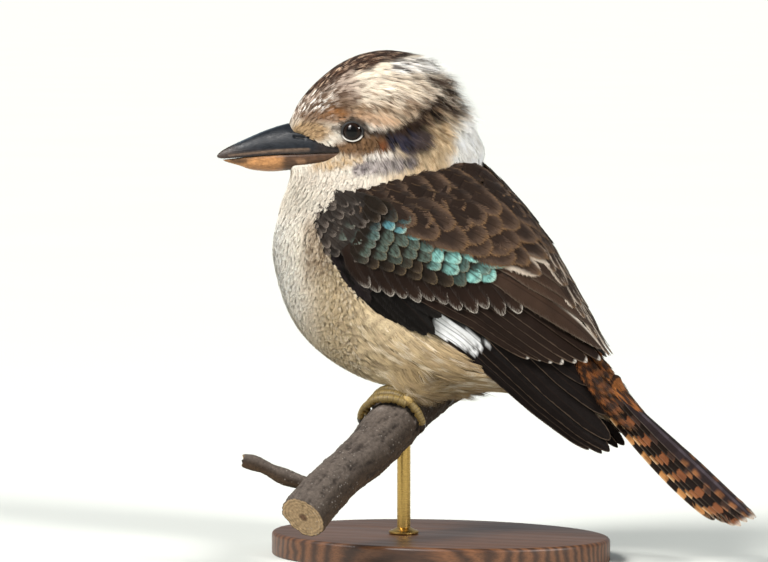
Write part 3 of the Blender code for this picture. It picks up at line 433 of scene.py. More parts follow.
def body_surface(u, angle, lift=0):
    """Points of the plumage's outer form: superellipses between a belly point and a back point, along stations.

    u is the station, angle runs from the back (0) over the left side to the belly (pi), lift is off the form.
    The head isn't turned yet.
    """
    u, angle, lift = np.broadcast_arrays(*(np.asarray(v, float) for v in (u, angle, lift)))
    rows = smooth_table(BODY_STATIONS, u)
    front, back, half = rows[..., 0:2], rows[..., 2:4], rows[..., 4]
    centre, reach = (front + back) / 2, (back - front) / 2
    c, s = np.cos(angle), np.sin(angle)
    power = 2 / BODY_SQUARENESS
    along = np.sign(c) * np.abs(c) ** power * (1 + lift / np.linalg.norm(reach, axis=-1))
    side = np.sign(s) * np.abs(s) ** power * (half + lift)
    x = centre[..., 0] + reach[..., 0] * along
    z = centre[..., 1] + reach[..., 1] * along
    limit = np.maximum(face_limit(x, z) + lift, 1)
    side = side / (1 + np.abs(side / limit) ** FACE_SHARPNESS) ** (1 / FACE_SHARPNESS)
    return packed(x, -side, z)


def swell_thighs(points, lift):
    """Lets two ellipsoids bulge from the belly over the legs, blended by a soft minimum of heights."""
    points = points.copy()
    for cx, cy, cz in THIGHS:
        rx, ry, rz = (r + lift for r in THIGH_RADII)
        room = 1 - ((points[..., 0] - cx) / rx) ** 2 - ((points[..., 1] - cy) / ry) ** 2
        low = cz - rz * np.sqrt(np.maximum(room, 0))
        share = np.clip(0.5 + 0.5 * (points[..., 2] - low) / THIGH_BLEND, 0, 1)
        lowered = points[..., 2] * (1 - share) + low * share - THIGH_BLEND * share * (1 - share)
        points[..., 2] = np.where((room > 0) & (points[..., 2] < cz), lowered, points[..., 2])
    return points


def to_wing(points):
    """(a, h) of points, along the folded wing and up across it."""
    dx, dz = points[..., 0] - WING_ORIGIN[0], points[..., 2] - WING_ORIGIN[1]
    c, s = math.cos(WING_SLOPE), math.sin(WING_SLOPE)
    return dx * c - dz * s, dx * s + dz * c


def from_wing(a, h, y):
    """Points from (a, h) on the folded wing and the distance to the bird's side."""
    c, s = math.cos(WING_SLOPE), math.sin(WING_SLOPE)
    return packed(WING_ORIGIN[0] + a * c + h * s, y, WING_ORIGIN[1] - a * s + h * c)


def wing_sections(a):
    """Half width, ridge height, widest height and lower reach of the wing's sections."""
    return (np.interp(a, WING_SECTIONS_A, row) for row in
            (WING_HALF_WIDTH, WING_RIDGE_H, WING_WIDEST_H, WING_LOWER_REACH))


def wing_cover(a, h, margin=7):
    """1 well inside the folded wing's outline, 0 outside it, eased over a margin."""
    low, high = np.interp(a, *WING_LOWER_EDGE), np.interp(a, *WING_UPPER_EDGE)
    inside = eased(h - low, 0, margin) * eased(high - h, 0, margin)
    return inside * eased(a, -7, margin - 5) * (a < 226)


def horn_room(points):
    """How much deeper the skin lies where the horn of the bill comes out of the face."""
    x, v = side_view(points)
    below_brow = eased(np.interp(x, *BROW_LINE) + 1.5 - v, 0, 3)
    above_chin = eased(v - np.interp(x, *CHIN_LINE) + 1.5, 0, 3)
    return 4 * below_brow * above_chin * eased(x, -58, -64)


def tuck_under_wing(points, clear, cover=None):
    """Draws points inside the wing's sheet by clear, where the wing covers them."""
    a, h = to_wing(points)
    half, ridge, widest, lower = wing_sections(a)
    reach = np.where(h > widest, ridge - widest, lower)
    y = points[..., 1]
    size = np.abs((h - widest) / reach) ** WING_SQUARENESS + np.abs(y / half) ** WING_SQUARENESS
    size = size ** (1 / WING_SQUARENESS)
    most = 1 - clear / half
    share = np.where(size > most, most / np.maximum(size, 1e-6), 1)
    share = 1 + (share - 1) * (wing_cover(a, h) if cover is None else cover)
    return from_wing(a, widest + (h - widest) * share, y * share)


def turn_head(points):
    """Turns what lies above the shoulders about the upright line through the neck, eased in over the neck."""
    x, y, z = np.moveaxis(points, -1, 0)
    angle = HEAD_TURN * eased(z, TURN_START_Z, TURN_FULL_Z)
    x, c, s = x - HEAD_PIVOT_X, np.cos(angle), np.sin(angle)
    return packed(HEAD_PIVOT_X + x * c - y * s, x * s + y * c, z)


def vent_draw(u, angle):
    """How far the plumage lies inside the plain form under the vent and round the root of the tail."""
    under = eased(np.abs(np.mod(angle, TURN) - np.pi), 1.9, 1)
    root = 5 * eased(u, 20, 22.5) + 3 * eased(u, 22.5, 24)
    return np.minimum(8.5 * under * eased(u, 17.3, 20) + root, 9)


def body_form(u, angle, lift, clear=1.5, cover=None):
    """The body's form with its thighs, tucked under the wings, before the head is turned."""
    lift = lift - vent_draw(u, angle)
    return tuck_under_wing(swell_thighs(body_surface(u, angle, lift), lift), clear, cover)


def coat_depth(u):
    """How far the coat's outer form stands off the skin, by station."""
    return np.interp(u, *COAT_DEPTH)


# The head's marks lie in its own side view: x, and v, the height less a ninth of the distance out.
SIDE_TILT = 0.114


def side_view(points):
    """(x, v) of points before the head is turned."""
    return points[..., 0], points[..., 2] - SIDE_TILT * np.abs(points[..., 1])


def near_line(x, v, line, radii, soft):
    """1 within a radius of a line of points (x, v), easing to 0 over soft; the radius runs along the line."""
    best = np.full(np.shape(x), 1e9)
    for (start, end, r0, r1) in zip(line[:-1], line[1:], radii[:-1], radii[1:]):
        dx, dv = end[0] - start[0], end[1] - start[1]
        t = np.clip(((x - start[0]) * dx + (v - start[1]) * dv) / (dx * dx + dv * dv), 0, 1)
        away = np.hypot(x - start[0] - t * dx, v - start[1] - t * dv) - (r0 + (r1 - r0) * t)
        best = np.minimum(best, away)
    return 1 - eased(best, -soft / 2, soft / 2)


def near_spot(x, v, centre, radii, soft=0.5):
    """1 inside an ellipse, easing to 0 over a share of its size."""
    away = np.hypot((x - centre[0]) / radii[0], (v - centre[1]) / radii[1])
    return 1 - eased(away, 1 - soft, 1 + soft)


def lay(colour, *marks):
    """Lays marks over colours in turn: each is a colour, which may be hex, then its share at each place."""
    for mark, share in zip(marks[::2], marks[1::2]):
        mark = linear(mark) if isinstance(mark, str) else mark
        colour = colour + (mark - colour) * np.clip(share, 0, 1)[..., None]
    return colour


BAND_LINE = ((-47, 252.6), (-36, 251.6), (-27, 253.6), (-17, 257.8), (-7, 264), (3, 270.5), (12, 276))
BAND_RADII = (1.3, 2, 2.8, 4.6, 7, 8.2, 6)
CHIN_LINE = ((-92, -89, -70.5, -59.7), (231, 232, 235.2, 242.2))
BROW_LINE = ((-91, -88.5, -78.9, -74.1, -66.9, -59.7), (258.5, 254.5, 248.8, 246.2, 243.8, 242.4))
CROWN_LINE = ((-92, -80, -67.5, -58.7, -51.3, -43.1, -35, -25.5, -18, -8),
              (268, 275, 282.5, 287.3, 290, 292.8, 294.5, 296.2, 299, 302))


def plumage(points, u, angle, roll, streak):
    """Colours of the coat from places on the body before the head is turned.

    roll and streak are random numbers from 0 to 1 for each tuft: streak picks dark shaft lines, roll the shade.
    """
    x, v = side_view(points)
    z = points[..., 2]
    front = eased(np.abs(angle - np.pi), 1.6, 0.4)
    soft = cloud(points, 6, 3)
    fine = cloud(points, 2.3, 4)
    line, spot = partial(near_line, x, v), partial(near_spot, x, v)
    colour = linear("#e6dac6")

    def put(code, share):
        nonlocal colour
        colour = lay(colour, code, share)

    # Breast and belly: white in front, tan towards flank and vent, with soft darker shaft lines and bars.
    put("#c8b491", eased(x + 8 * soft, -96, -60) * eased(z, 208, 165))
    put("#b59c74", eased(x, -50, -8) * eased(z, 148, 112))
    put("#f3eee5", front * eased(z + 10 * soft, 112, 165) * eased(x, -52, -84))
    put("#a8937a", (streak > 0.88) * eased(z, 218, 196) * eased(x, -101, -84) * 0.4)
    near_wing = eased(x + 4 * soft, -78, -71) * eased(x, -52, -62) * eased(z, 160, 180)
    put("#927656", near_wing * eased(z, 213, 203) * 0.6)
    put("#5a4636", near_wing * eased(z, 207, 197) * (streak > 0.75) * 0.6)
    # Darker brown low on the belly towards the vent, under the wing: painted shade.
    put("#7d684c", eased(x, -6, 20) * eased(z, 132, 104) * 0.7)
    bars = eased(np.sin((x * 0.55 - z) / 6.6 * TURN + 1.6 * soft), 0.2, 0.9)
    put("#8d765c", bars * 0.4 * eased(x, -66, -46) * eased(z, 186, 158))
    put("#f0e8d8", (streak < 0.2) * eased(z, 215, 190) * 0.3)

    # Neck and nape: buff with fine streaks, white at the rear and under the throat.
    neck = eased(z, 196, 212)
    put("#d6cdbf", neck)
    put("#d8c09c", neck * eased(x + 5 * soft, -44, -14) * eased(x, 22, 4))
    put("#9c7a4e", neck * (streak > 0.74) * eased(x, -34, -14) * eased(x, 15, 3) * 0.7)
    put("#faf7f1", neck * eased(x + 4 * soft, 0, 10))
    put("#bfae9c", neck * (streak > 0.86) * eased(x, -30, -40) * 0.6)

    # Face: buff lores and chin, brown cheek and forehead with dark shaft lines, ochre before the eye.
    chin = line(((-76, 232.5), (-62, 236), (-50, 237)), (3, 4.5, 3.5), 4)
    put("#bd9f78", chin * (0.75 + 0.5 * fine))
    cheek = line(((-62, 243), (-48, 245), (-38, 246)), (3.5, 6, 6), 5)
    put("#77593d", cheek)
    put("#57402d", cheek * np.maximum(eased(fine, 0, 0.4) * 0.5, (streak > 0.75) * 0.55))
    high = eased(v, 258, 265) * eased(x, 16, 4)
    put("#e6d9c6", high)
    put("#98774f", high * eased(v - 5 * soft, 274, 260) * 0.85)
    put("#75583f", high * (streak > 0.7) * eased(v, 292, 274) * 0.75)
    brow = high * eased(x + 6 * soft, -46, -60)
    put("#b9a697", brow)
    put("#66492e", spot((-62, 268), (13, 8), 0.8) * 0.85)
    put("#513a2a", brow * (streak > 0.58) * 0.85)
    put("#efe7dd", brow * (streak < 0.24) * eased(x, -60, -72) * 0.8)
    put("#b59671", spot((-80, 253.5), (13, 6.5), 0.35))
    put("#6a5039", spot((-80, 254.5), (13, 6.5), 0.35) * (streak > 0.82) * 0.6)
    put("#7c5d44", spot((-77, 262.5), (9, 3.6)) * 0.8)
    put("#96602b", spot((-64.5, 262.6), (8, 4.4)) * (0.75 + 0.5 * soft))
    put("#ba936f", line(((-50, 262), (-40, 259), (-30, 259)), (3, 3.2, 2), 4) * 0.7)
    put("#33231a", line(((-66, 254.9), (-60, 255.4)), (1, 2.2), 3) * 0.8)
    put("#2a1c14", spot((-53.2, 253.8), (8.4, 7.8), 0.2) * 0.9)

    # Top of the crown: dense dark streaks, rufous between. Rear of the crown: white tips, then brown and white.
    top = eased(v - np.interp(x, *CROWN_LINE) + 3 * soft, -2.5, 2.5)
    put("#5c4232", top)
    put("#291b14", top * (streak > 0.38) * 0.94)
    put("#b89d84", top * (streak < 0.12) * 0.85)
    white = line(((-26, 291.5), (-12, 292), (4, 291)), (4.5, 5.5, 6), 3)
    put("#f6f1ea", white)
    put("#40342b", white * (streak > 0.8) * eased(x, 2, -14) * 0.9)
    mixed = line(((-10, 283), (6, 281.5)), (3.2, 4.6), 3)
    put("#4a3527", mixed * (streak > 0.3) * 0.95)

    # The dark band from the eye to the nape, the ear patch, and the paler lines below it.
    grey = line(((-50, 230.5), (-36, 233), (-20, 235)), (3.6, 4.4, 4), 4)
    put("#a59b98", grey * 0.9)
    put("#61575a", grey * ((streak > 0.66) | (fine > 0.35)) * 0.7)
    put("#e9e4de", line(((-47, 237), (-40, 238.6), (-31, 239.4)), (1, 1.7, 0.8), 1.8) * 0.55)
    ear = line(((-29, 247), (-20, 247), (-15, 247.5)), (5.6, 7.4, 6.4), 3)
    put("#514440", ear)
    # Blue-black over the front of the ear patch: a painted sheen.
    put("#34313f", ear * eased(x + 3 * soft, -15, -21) * (streak < 0.7))
    put("#7a4526", spot((-36.5, 245), (2.2, 3.2)) * 0.8)
    band = line(BAND_LINE, BAND_RADII, 4)
    put("#33231a", band * eased(streak - 0.3 * eased(x, -18, 0), -0.05, 0.02))
    put("#9d8266", band * (streak > 0.86) * eased(x, -24, -10) * 0.8)

    # Mantle and rump.
    back = eased(np.minimum(angle, TURN - angle), 1.25, 0.9)
    put("#3a2c25", back * eased(u, 10.8, 11.5))
    rump = eased(np.abs(angle - np.pi), 0.7, 1) * eased(x, 80, 92)
    put("#935a2e", rump)
    put("#1f120b", rump * (np.sin(x / 9 * TURN + 2 * soft) > 0.1) * 0.9)
    shade = 0.68 + 0.6 * roll
    return np.clip(colour * shade[..., None], 0, 0.9)


class WingSheet:
    """The curved sheet on which the folded wing's feathers lie.

    Each section across the wing is a superellipse; its arc length q runs from the ridge of the back (0) down the
    side. A table of (h, y) over a and q is read between its points.
    """

    a_step, q_step, q_count = 2, 1, 140

    def __init__(self):
        self.a = np.arange(-20, 246, self.a_step)
        theta = np.linspace(np.pi / 2, -np.pi / 2, 361)
        power = 2 / WING_SQUARENESS
        half, ridge, widest, lower = (v[:, None] for v in wing_sections(self.a))
        s = np.sign(np.sin(theta)) * np.abs(np.sin(theta)) ** power
        h = widest + np.where(s > 0, (ridge - widest) * s, lower * s)
        y = half * np.abs(np.cos(theta)) ** power
        run = np.concatenate([np.zeros((len(h), 1)), np.cumsum(np.hypot(np.diff(h), np.diff(y)), axis=1)], axis=1)
        self.even = np.arange(self.q_count) * self.q_step
        self.table = np.stack([packed(np.interp(self.even, r, hh), np.interp(self.even, r, yy))
                               for r, hh, yy in zip(run, h, y)])

    def section(self, a, q):
        """(h, y) between the table's points."""
        i = np.clip((a - self.a[0]) / self.a_step, 0, len(self.a) - 1.001)
        j = np.clip(q / self.q_step, 0, self.q_count - 1.001)
        i0, j0 = i.astype(int), j.astype(int)
        s, t = (i - i0)[..., None], (j - j0)[..., None]
        near = self.table[i0, j0] * (1 - t) + self.table[i0, j0 + 1] * t
        far = self.table[i0 + 1, j0] * (1 - t) + self.table[i0 + 1, j0 + 1] * t
        return near * (1 - s) + far * s

    def place(self, a, q):
        """Points of the left wing's sheet itself."""
        h, y = np.moveaxis(self.section(a, q), -1, 0)
        return from_wing(a, h, -y)

    def points(self, a, q, lift):
        """Places on the left wing. Lifts shrink towards the ridge of the back, where feathers lie tight."""
        q = np.maximum(q, RIDGE_MARGIN)
        da = self.place(a + 2, q) - self.place(a - 2, q)
        dq = self.place(a, q + 2) - self.place(a, np.maximum(q - 2, 0))
        normal = unit(np.cross(da, dq))
        normal = normal * np.where(normal[..., 2:3] * 0.5 - normal[..., 1:2] < 0, -1, 1)
        tight = 0.62 + 0.38 * eased(q, 4, 34)
        return self.place(a, q) + normal * (lift * tight)[..., None]

    def arc(self, a, h):
        """Arc length of the points at heights h on the sections at a."""
        heights = self.section(a[:, None] + 0 * self.even, self.even + 0 * a[:, None])[..., 0]
        return np.array([np.interp(-level, -row, self.even) for level, row in zip(h, heights)])


SHEET = WingSheet()


def ridge_place(a, q, lift):
    """Places over the ridge of the back: q is the arc length down the left side, or the right if negative."""
    def flat(a, q):
        return SHEET.place(a, np.abs(q)) * packed(1, np.where(q < 0, -1, 1), 1)
    normal = unit(np.cross(flat(a + 2, q) - flat(a - 2, q), flat(a, q + 2) - flat(a, q - 2)))
    normal = normal * np.where(normal[..., 2:3] < 0, -1, 1)
    return flat(a, q) + normal * np.asarray(lift)[..., None]


def tail_place(s, c, lift):
    """Tail coordinates: s along the ridge line, c across it (left is negative), lift off a rolled roof."""
    y = c * math.cos(TAIL_ROOF)
    up = lift - math.sin(TAIL_ROOF) * (np.hypot(c, 4) - 4) - TAIL_SAG * eased(s, -36, 32)
    roll = TAIL_ROLL * eased(s, 20, 80)
    y, up = y * np.cos(roll) - up * np.sin(roll), up * np.cos(roll) + y * np.sin(roll)
    c0, s0 = math.cos(TAIL_SLOPE), math.sin(TAIL_SLOPE)
    return packed(TAIL_START[0] + s * c0 + up * s0, y, TAIL_START[1] - s * s0 + up * c0)


def ribbons(middle, above, half):
    """Narrow tapered strips, five points each: two at each of two stops and one at the tip.

    middle (..., 3, 3) holds the centre line, above the same points a little further off the surface.
    """
    tangent = unit(np.gradient(middle, axis=-2))
    across = unit(np.cross(tangent, unit(above - middle)))
    reach = across * (np.asarray(half)[..., None, None] * np.array(RIBBON_TAPER)[:, None])
    left, right = middle - reach, middle + reach
    return np.stack([left[..., 0, :], right[..., 0, :], left[..., 1, :], right[..., 1, :], middle[..., 2, :]],
                    axis=-2)


def ribbon_piece(name, strips, paint, roots, finish, mirror=False):
    """A piece of ribbons (n, 5, 3) with a colour per point; roots from 0 to 1 place each one's patch of the map."""
    number = (np.arange(len(strips)) * 5)[:, None]
    quads, tips = np.array([[0, 1, 3, 2]]) + number, np.array([[2, 3, 4]]) + number
    if mirror:
        quads, tips = quads[:, ::-1], tips[:, ::-1]
    local = packed(np.array([0.1, 0.9, 0.1, 0.9, 0.5]), np.array(RIBBON_STOPS)[list(STOP_OF_POINT)]) * PATCH
    uv = (np.clip(roots, 0, 1)[:, None] * (1 - PATCH) + local).reshape(-1, 2)
    corners = np.concatenate([quads.ravel(), tips.ravel()])
    points = strips.reshape(-1, 3) * ((1, -1, 1) if mirror else (1, 1, 1))
    return make_piece(name, points, [quads, tips], finish, {"OFBake": uv[corners]}, tint=paint.reshape(-1, 3))


class Vanes:
    """A row of feathers on a surface.

    place(a, b, lift) gives points; root and tip are (n, 2) in its coordinates, in mm. The half width is
    width/2 (1 - t^p)^(1/2), opening from root_share near the quill. lean makes the side with larger b wider,
    roll lifts it, camber arches the vane over its shaft and bow bends the shaft sideways. The closed shell fills
    the share bare of the outline, and loose barbs reach beyond it.
    """

    def __init__(self, place, root, tip, width, lifts, roll=0, round_power=3, root_share=0.55, lean=0,
                 camber=0.05, thick=0.3, bow=0, bare=1):
        self.place, self.root, self.tip = place, np.asarray(root, float), np.asarray(tip, float)
        self.count = len(self.root)
        line = self.tip - self.root
        self.length = np.linalg.norm(line, axis=1)[:, None]
        self.ahead = line / self.length
        self.width, self.low, self.high, self.bow = (
            np.broadcast_to(np.asarray(v, float), (self.count,))[:, None] for v in (width, *lifts, bow))
        self.roll, self.round_power, self.root_share, self.bare = roll, round_power, root_share, bare
        self.lean, self.camber, self.thick = lean, camber, thick

    def half(self, t, side):
        """Half width at a share t of the length, wider on one side by the lean."""
        opening = self.root_share + (1 - self.root_share) * eased(t, 0, 0.45)
        outline = np.sqrt(np.maximum(1 - np.clip(t, 0, 1) ** self.round_power, 0.0025))
        return self.width / 2 * opening * outline * (1 + self.lean * np.sign(side))

    def at(self, across, along, extra):
        """Points (n, k, 3) at mm across and along each vane, raised by extra, and the facts for its colours."""
        t = along / self.length
        half = self.half(t, across)
        v = across / half
        aside = across + self.bow * np.sin(np.pi * np.clip(t, 0, 1))
        a = self.root[:, :1] + self.ahead[:, :1] * along - self.ahead[:, 1:] * aside
        b = self.root[:, 1:] + self.ahead[:, 1:] * along + self.ahead[:, :1] * aside
        lift = self.low + (self.high - self.low) * t + self.roll * (across + self.width / 2)
        lift = lift - self.camber * np.minimum(v * v, 1.5) * half
        inside = np.minimum(half * self.bare - np.abs(across), self.length * self.most(1) - along)
        return self.place(a, b, lift + extra), packed(across, along, inside, v, t)

    def most(self, t):
        """How far along the closed shell reaches for a share t of its own length."""
        return t * (1 - (1 - self.bare) * 0.35)

    def shell(self, rows, columns):
        """Closed shells on a grid: points (n, 2 rows columns, 3), one shell's faces, and the facts."""
        t = 1 - (1 - np.linspace(0, 1, rows)) ** 1.35
        v = np.linspace(-1, 1, columns)
        v = np.sign(v) * (0.55 * np.abs(v) + 0.45 * np.abs(v) ** 0.55)
        t, v = (np.broadcast_to(g.ravel(), (self.count, rows * columns)) for g in np.meshgrid(t, v, indexing="ij"))
        across = v * self.half(t, v) * self.bare
        along = self.most(t) * self.length
        shaft = np.exp(-((across / 0.35) ** 2)) * 0.22 * (1 - t)
        upper, facts = self.at(across, along, shaft)
        under, _ = self.at(across, along, -self.thick * (0.25 + 0.75 * (1 - v**4)))
        both = np.concatenate([upper, under], axis=1)
        return both, shell_faces(rows, columns), np.concatenate([facts, facts], axis=1)

    def barbs(self, rng, spacing, reach, layers=(1.04, 0.78, 0.5), start=0.3, width=0.42):
        """Soft barbs: ribbons that leave the shaft, fan towards the edge and pass it a little.

        Their ends are spaced evenly along the outline and along smaller outlines inside it. Returns the strips
        (n, m, 5, 3), and the facts at their three stops (n, m, 3, 5) with each one's layer (m).
        """
        t = 1 - (1 - start) * (1 - np.linspace(0, 1, 60)) ** 2
        run = run_along(packed(self.half(t, 0 * t).mean(axis=0), t * self.length.mean()))
        many = max(int(run[-1] / spacing), 4)
        even = np.interp(np.linspace(0, run[-1], many), run, t)
        layer, side, even = (g.ravel() for g in np.meshgrid(layers, (-1, 1), even, indexing="ij"))
        shape = (self.count, len(even))
        t_end = np.clip(even + 0.012 * rng.standard_normal(shape), 0.05, 1)
        full = self.half(t_end, np.broadcast_to(side, shape))
        across = side * full * layer * (1 + 0.05 * rng.standard_normal(shape))
        along = t_end * self.length - (1 - layer) * self.width * 0.5 * (0.4 + 0.6 * t_end)
        lean_out = 0.62 * across / (self.width / 2) + 0.09 * rng.standard_normal(shape)
        long = reach * rng.uniform(0.7, 1.2, shape)
        left = 1 - np.array(RIBBON_STOPS)
        c = across[..., None] - left * (long * np.sin(lean_out))[..., None]
        l = along[..., None] - left * (long * np.cos(lean_out))[..., None]
        raise_by = np.array([-0.15, 0.18, 0.12]) + 0.1 * rng.random(shape)[..., None]
        flat = (self.count, -1)
        middle, facts = self.at(c.reshape(flat), l.reshape(flat), raise_by.reshape(flat))
        above, _ = self.at(c.reshape(flat), l.reshape(flat), raise_by.reshape(flat) + 0.6)
        middle, above = (p.reshape(shape + (3, 3)) for p in (middle, above))
        strips = ribbons(middle, above, width / 2 * rng.uniform(0.7, 1.3, shape))
        return strips, facts.reshape(shape + (3, 5)), layer


# Feathers.

def feather_faces(points, faces):
    """Faces of all the shells, turned so that each encloses a positive volume."""
    count, size = points.shape[:2]
    corner = points[:, faces]
    corner = corner - corner[:, :1, :1]
    a, b, c, d = (corner[:, :, k] for k in range(4))
    volume = np.einsum("nij,nij->n", a, np.cross(b, c)) + np.einsum("nij,nij->n", a, np.cross(c, d))
    every = faces[None] + (np.arange(count) * size)[:, None, None]
    return np.where((volume > 0)[:, None, None], every, every[..., ::-1]).reshape(-1, 4)


class FeatherBatch:
    """Feathers of one piece, gathered row by row: closed shells, and the barbs that lie on them."""

    def __init__(self):
        self.tiers = []
        self.soft = []

    def row(self, rng, vanes, base, rim=0.5, paint=None, where=None, tips=None, grid=(12, 9), barbs=None,
            fringe="#8a7561", barred=0, spread=0.12, sides=0.3, phase=0):
        """Adds a row of vanes.

        base is its hex colour. paint may lay marks over it by the facts, by where(points), and by the feathers'
        tips (n, 1, 2). rim is how strongly the tips fade to the fringe colour, and sides the share of that along
        the edges. phase shifts the bars of barred feathers, in periods.
        """
        tips = (vanes.tip if tips is None else tips)[:, None, :]

        def painted(colours, facts, points):
            return paint(colours, facts, *(where(points) if where else (None, None)), tips) if paint else colours

        points, faces, facts = vanes.shell(*grid)
        each = (linear(base) * (1 + spread * rng.standard_normal((vanes.count, 1))))[:, None, :]
        colours = painted(np.repeat(each, points.shape[1], axis=1), facts, points)
        marks = np.zeros(points.shape)
        along_edge = sides + (1 - sides) * eased(facts[..., 4], 0.78, 0.95)
        marks[..., 0] = rim * rng.uniform(0.45, 1.1, (vanes.count, 1)) * along_edge
        marks[..., 1] = barred
        marks[..., 2] = phase + 0.15 * rng.random((vanes.count, 1))
        self.tiers.append((points, faces, facts, colours, marks, linear(fringe)))
        if barbs:
            strips, facts, layer = vanes.barbs(rng, **barbs)
            middle = 0.5 * (strips[:, :, [0, 2, 4]] + strips[:, :, [1, 3, 4]])
            flat = (vanes.count, -1)
            tone = painted(np.repeat(each, middle.shape[1] * 3, axis=1), facts.reshape(flat + (5,)),
                           middle.reshape(flat + (3,)))
            tone = tone.reshape(middle.shape) * rng.uniform(0.8, 1.2, middle.shape[:2])[..., None, None]
            pale = rim * (layer > 1)[None, :, None] * np.array([0, 0.25, 0.9])
            tone = lay(tone, fringe, pale * (sides + (1 - sides) * eased(facts[..., 4], 0.7, 0.95)))
            roots = packed(vanes.root[:, 0] / MAP_LONG, np.abs(vanes.root[:, 1]) / MAP_WIDE)
            roots = np.repeat(roots, middle.shape[1], axis=0)
            self.soft.append((strips.reshape(-1, 5, 3), tone[:, :, list(STOP_OF_POINT)].reshape(-1, 5, 3), roots))

    def make(self, name, finish, slot, mirror=False):
        """One piece of all the shells; each row's cells fill one band of its map."""
        parts = []
        start = 0
        for band, (points, faces, facts, colours, marks, edge) in enumerate(self.tiers):
            points = points * ((1, -1, 1) if mirror else (1, 1, 1))
            count, size = points.shape[:2]
            own = feather_faces(points, faces)
            across = math.ceil(math.sqrt(count))
            n = np.arange(count)[:, None]
            u = (n % across + 0.03 + (facts[..., 3] * 0.5 + 0.5) * 0.44 + 0.5
                 * (np.arange(size) >= size // 2)) / across
            v = (band + (n // across + 0.04 + facts[..., 4] * 0.92) / across) / len(self.tiers)
            flat = (part.reshape(-1, 3) for part in (points, facts[..., :3], colours, marks))
            parts.append((own + start, packed(u, v).reshape(-1, 2)[own.ravel()],
                          np.tile(edge, (count * size, 1)), *flat))
            start += count * size
        faces, uv, edges, points, places, tints, marks = (np.concatenate(part) for part in zip(*parts))
        return make_piece(name, points, faces, finish, {"OFBake": uv},
                          {"vane": places, "fringe": opaque(edges), "mark": marks}, tints)

    def make_soft(self, name, finish, slot, mirror=False):
        """One piece of all the barbs."""
        strips, paints, roots = (np.concatenate(part) for part in zip(*self.soft))
        return ribbon_piece(name, strips, np.clip(paints, 0, 0.9), roots, finish, mirror)


def vane_material(name, rim_width, gloss, roughness, barb_spacing=0.7, bars=None):
    """Feather vane: keratin barbs hooked into a sheet. Slanted barb lines catch light, edges fade paler.

    Barbs are about 0.3 mm apart on the real feather and are drawn wider, so that they show. bars gives
    (period mm, dark share, dark colour) for a barred feather.
    """
    made, add, shader = new_material(name)
    fields = ("vane", "tint", "mark", "fringe")
    vane, tint, mark, fringe = (add("Attribute", attribute_name=field) for field in fields)
    place = add("SeparateXYZ", {0: vane.outputs["Vector"]})
    marks = add("SeparateXYZ", {0: mark.outputs["Vector"]})
    coords = add("TexCoord").outputs["Object"]
    wander = add("TexNoise", {"Vector": coords, "Scale": 260, "Detail": 2})
    out = add("Math", {0: place.outputs["X"]}, operation="ABSOLUTE")
    slant = add("Math", {0: out, 1: -1.25, 2: place.outputs["Y"]}, operation="MULTIPLY_ADD")
    shaken = add("Math", {0: wander, 1: 2.2, 2: slant}, operation="MULTIPLY_ADD")
    phase = add("Math", {0: shaken, 1: TURN / barb_spacing}, operation="MULTIPLY")
    barb = add("Math", {0: phase}, operation="SINE")
    shade = add("MapRange", {0: barb, 1: -1, 2: 1, 3: 0.68, 4: 0.98})
    blotch = add("TexNoise", {"Vector": coords, "Scale": 90, "Detail": 3})
    patch = add("MapRange", {0: blotch, 1: 0.3, 2: 0.7, 3: 0.84, 4: 1.16})
    both = add("Math", {0: shade, 1: patch}, operation="MULTIPLY")
    base = add("VectorMath", {0: tint, "Scale": both}, operation="SCALE")
    if bars:
        period, share, dark = bars
        bent = add("Math", {0: out, 1: -0.35, 2: place.outputs["Y"]}, operation="MULTIPLY_ADD")
        moved = add("Math", {0: wander, 1: 5, 2: bent}, operation="MULTIPLY_ADD")
        slid = add("Math", {0: marks.outputs["Z"], 1: period, 2: moved}, operation="MULTIPLY_ADD")
        turn = add("Math", {0: slid, 1: TURN / period}, operation="MULTIPLY")
        wave = add("Math", {0: turn}, operation="SINE")
        level = math.sin(math.pi * (0.5 - share))
        bar = add("MapRange", {0: wave, 1: level - 0.16, 2: level + 0.16})
        strength = add("Math", {0: bar, 1: marks.outputs["Y"]}, operation="MULTIPLY")
        base = add("Mix", {0: strength, 6: base, 7: rgba(dark)}, data_type="RGBA").outputs[2]
    edge_noise = add("MapRange", {0: wander, 1: 0.3, 2: 0.7, 3: 0.5, 4: 1.5})
    reach = add("Math", {0: edge_noise, 1: rim_width}, operation="MULTIPLY")
    depth = add("Math", {0: place.outputs["Z"], 1: reach}, operation="DIVIDE")
    rim = add("MapRange", {0: depth, 1: 0.55, 2: 1.25, 3: 1, 4: 0}, interpolation_type="SMOOTHSTEP")
    rim_share = add("Math", {0: rim, 1: marks.outputs["X"]}, operation="MULTIPLY")
    rimmed = add("Mix", {0: rim_share, 6: base, 7: fringe}, data_type="RGBA")
    shaft = add("MapRange", {0: out, 1: 0.15, 2: 0.4, 3: 0.55, 4: 0})
    quill = add("Mix", {0: shaft, 6: rimmed.outputs[2], 7: rgba("#1d130d")}, data_type="RGBA")
    bump = add("Bump", {"Height": barb, "Strength": 0.5, "Distance": 0.00018})
    connect(shader, {"Base Color": quill.outputs[2], "Roughness": roughness, "Normal": bump,
                     "Specular IOR Level": gloss})
    return made


def down_material():
    """Loose body plumage: soft barbs without hooks, matt, each tuft lighter to its tip by its own colour."""
    made, add, shader = new_material("loose_body_down")
    tint = add("Attribute", attribute_name="tint")
    connect(shader, {"Base Color": tint, "Roughness": 0.8, "Sheen Weight": 0.06, "Sheen Roughness": 0.5,
                     "Specular IOR Level": 0.15})
    return made


def skin_material(name):
    """The downy underlayer close to the skin: dull barbs, finely streaked, in the coat's own colours."""
    return grained_material(name, {"Roughness": 0.9, "Specular IOR Level": 0.15}, {"Scale": 900, "Detail": 3},
                            shade=(0.3, 0.7, 0.6, 1), relief=(0.6, 0.0005))


# Body skin and coat.

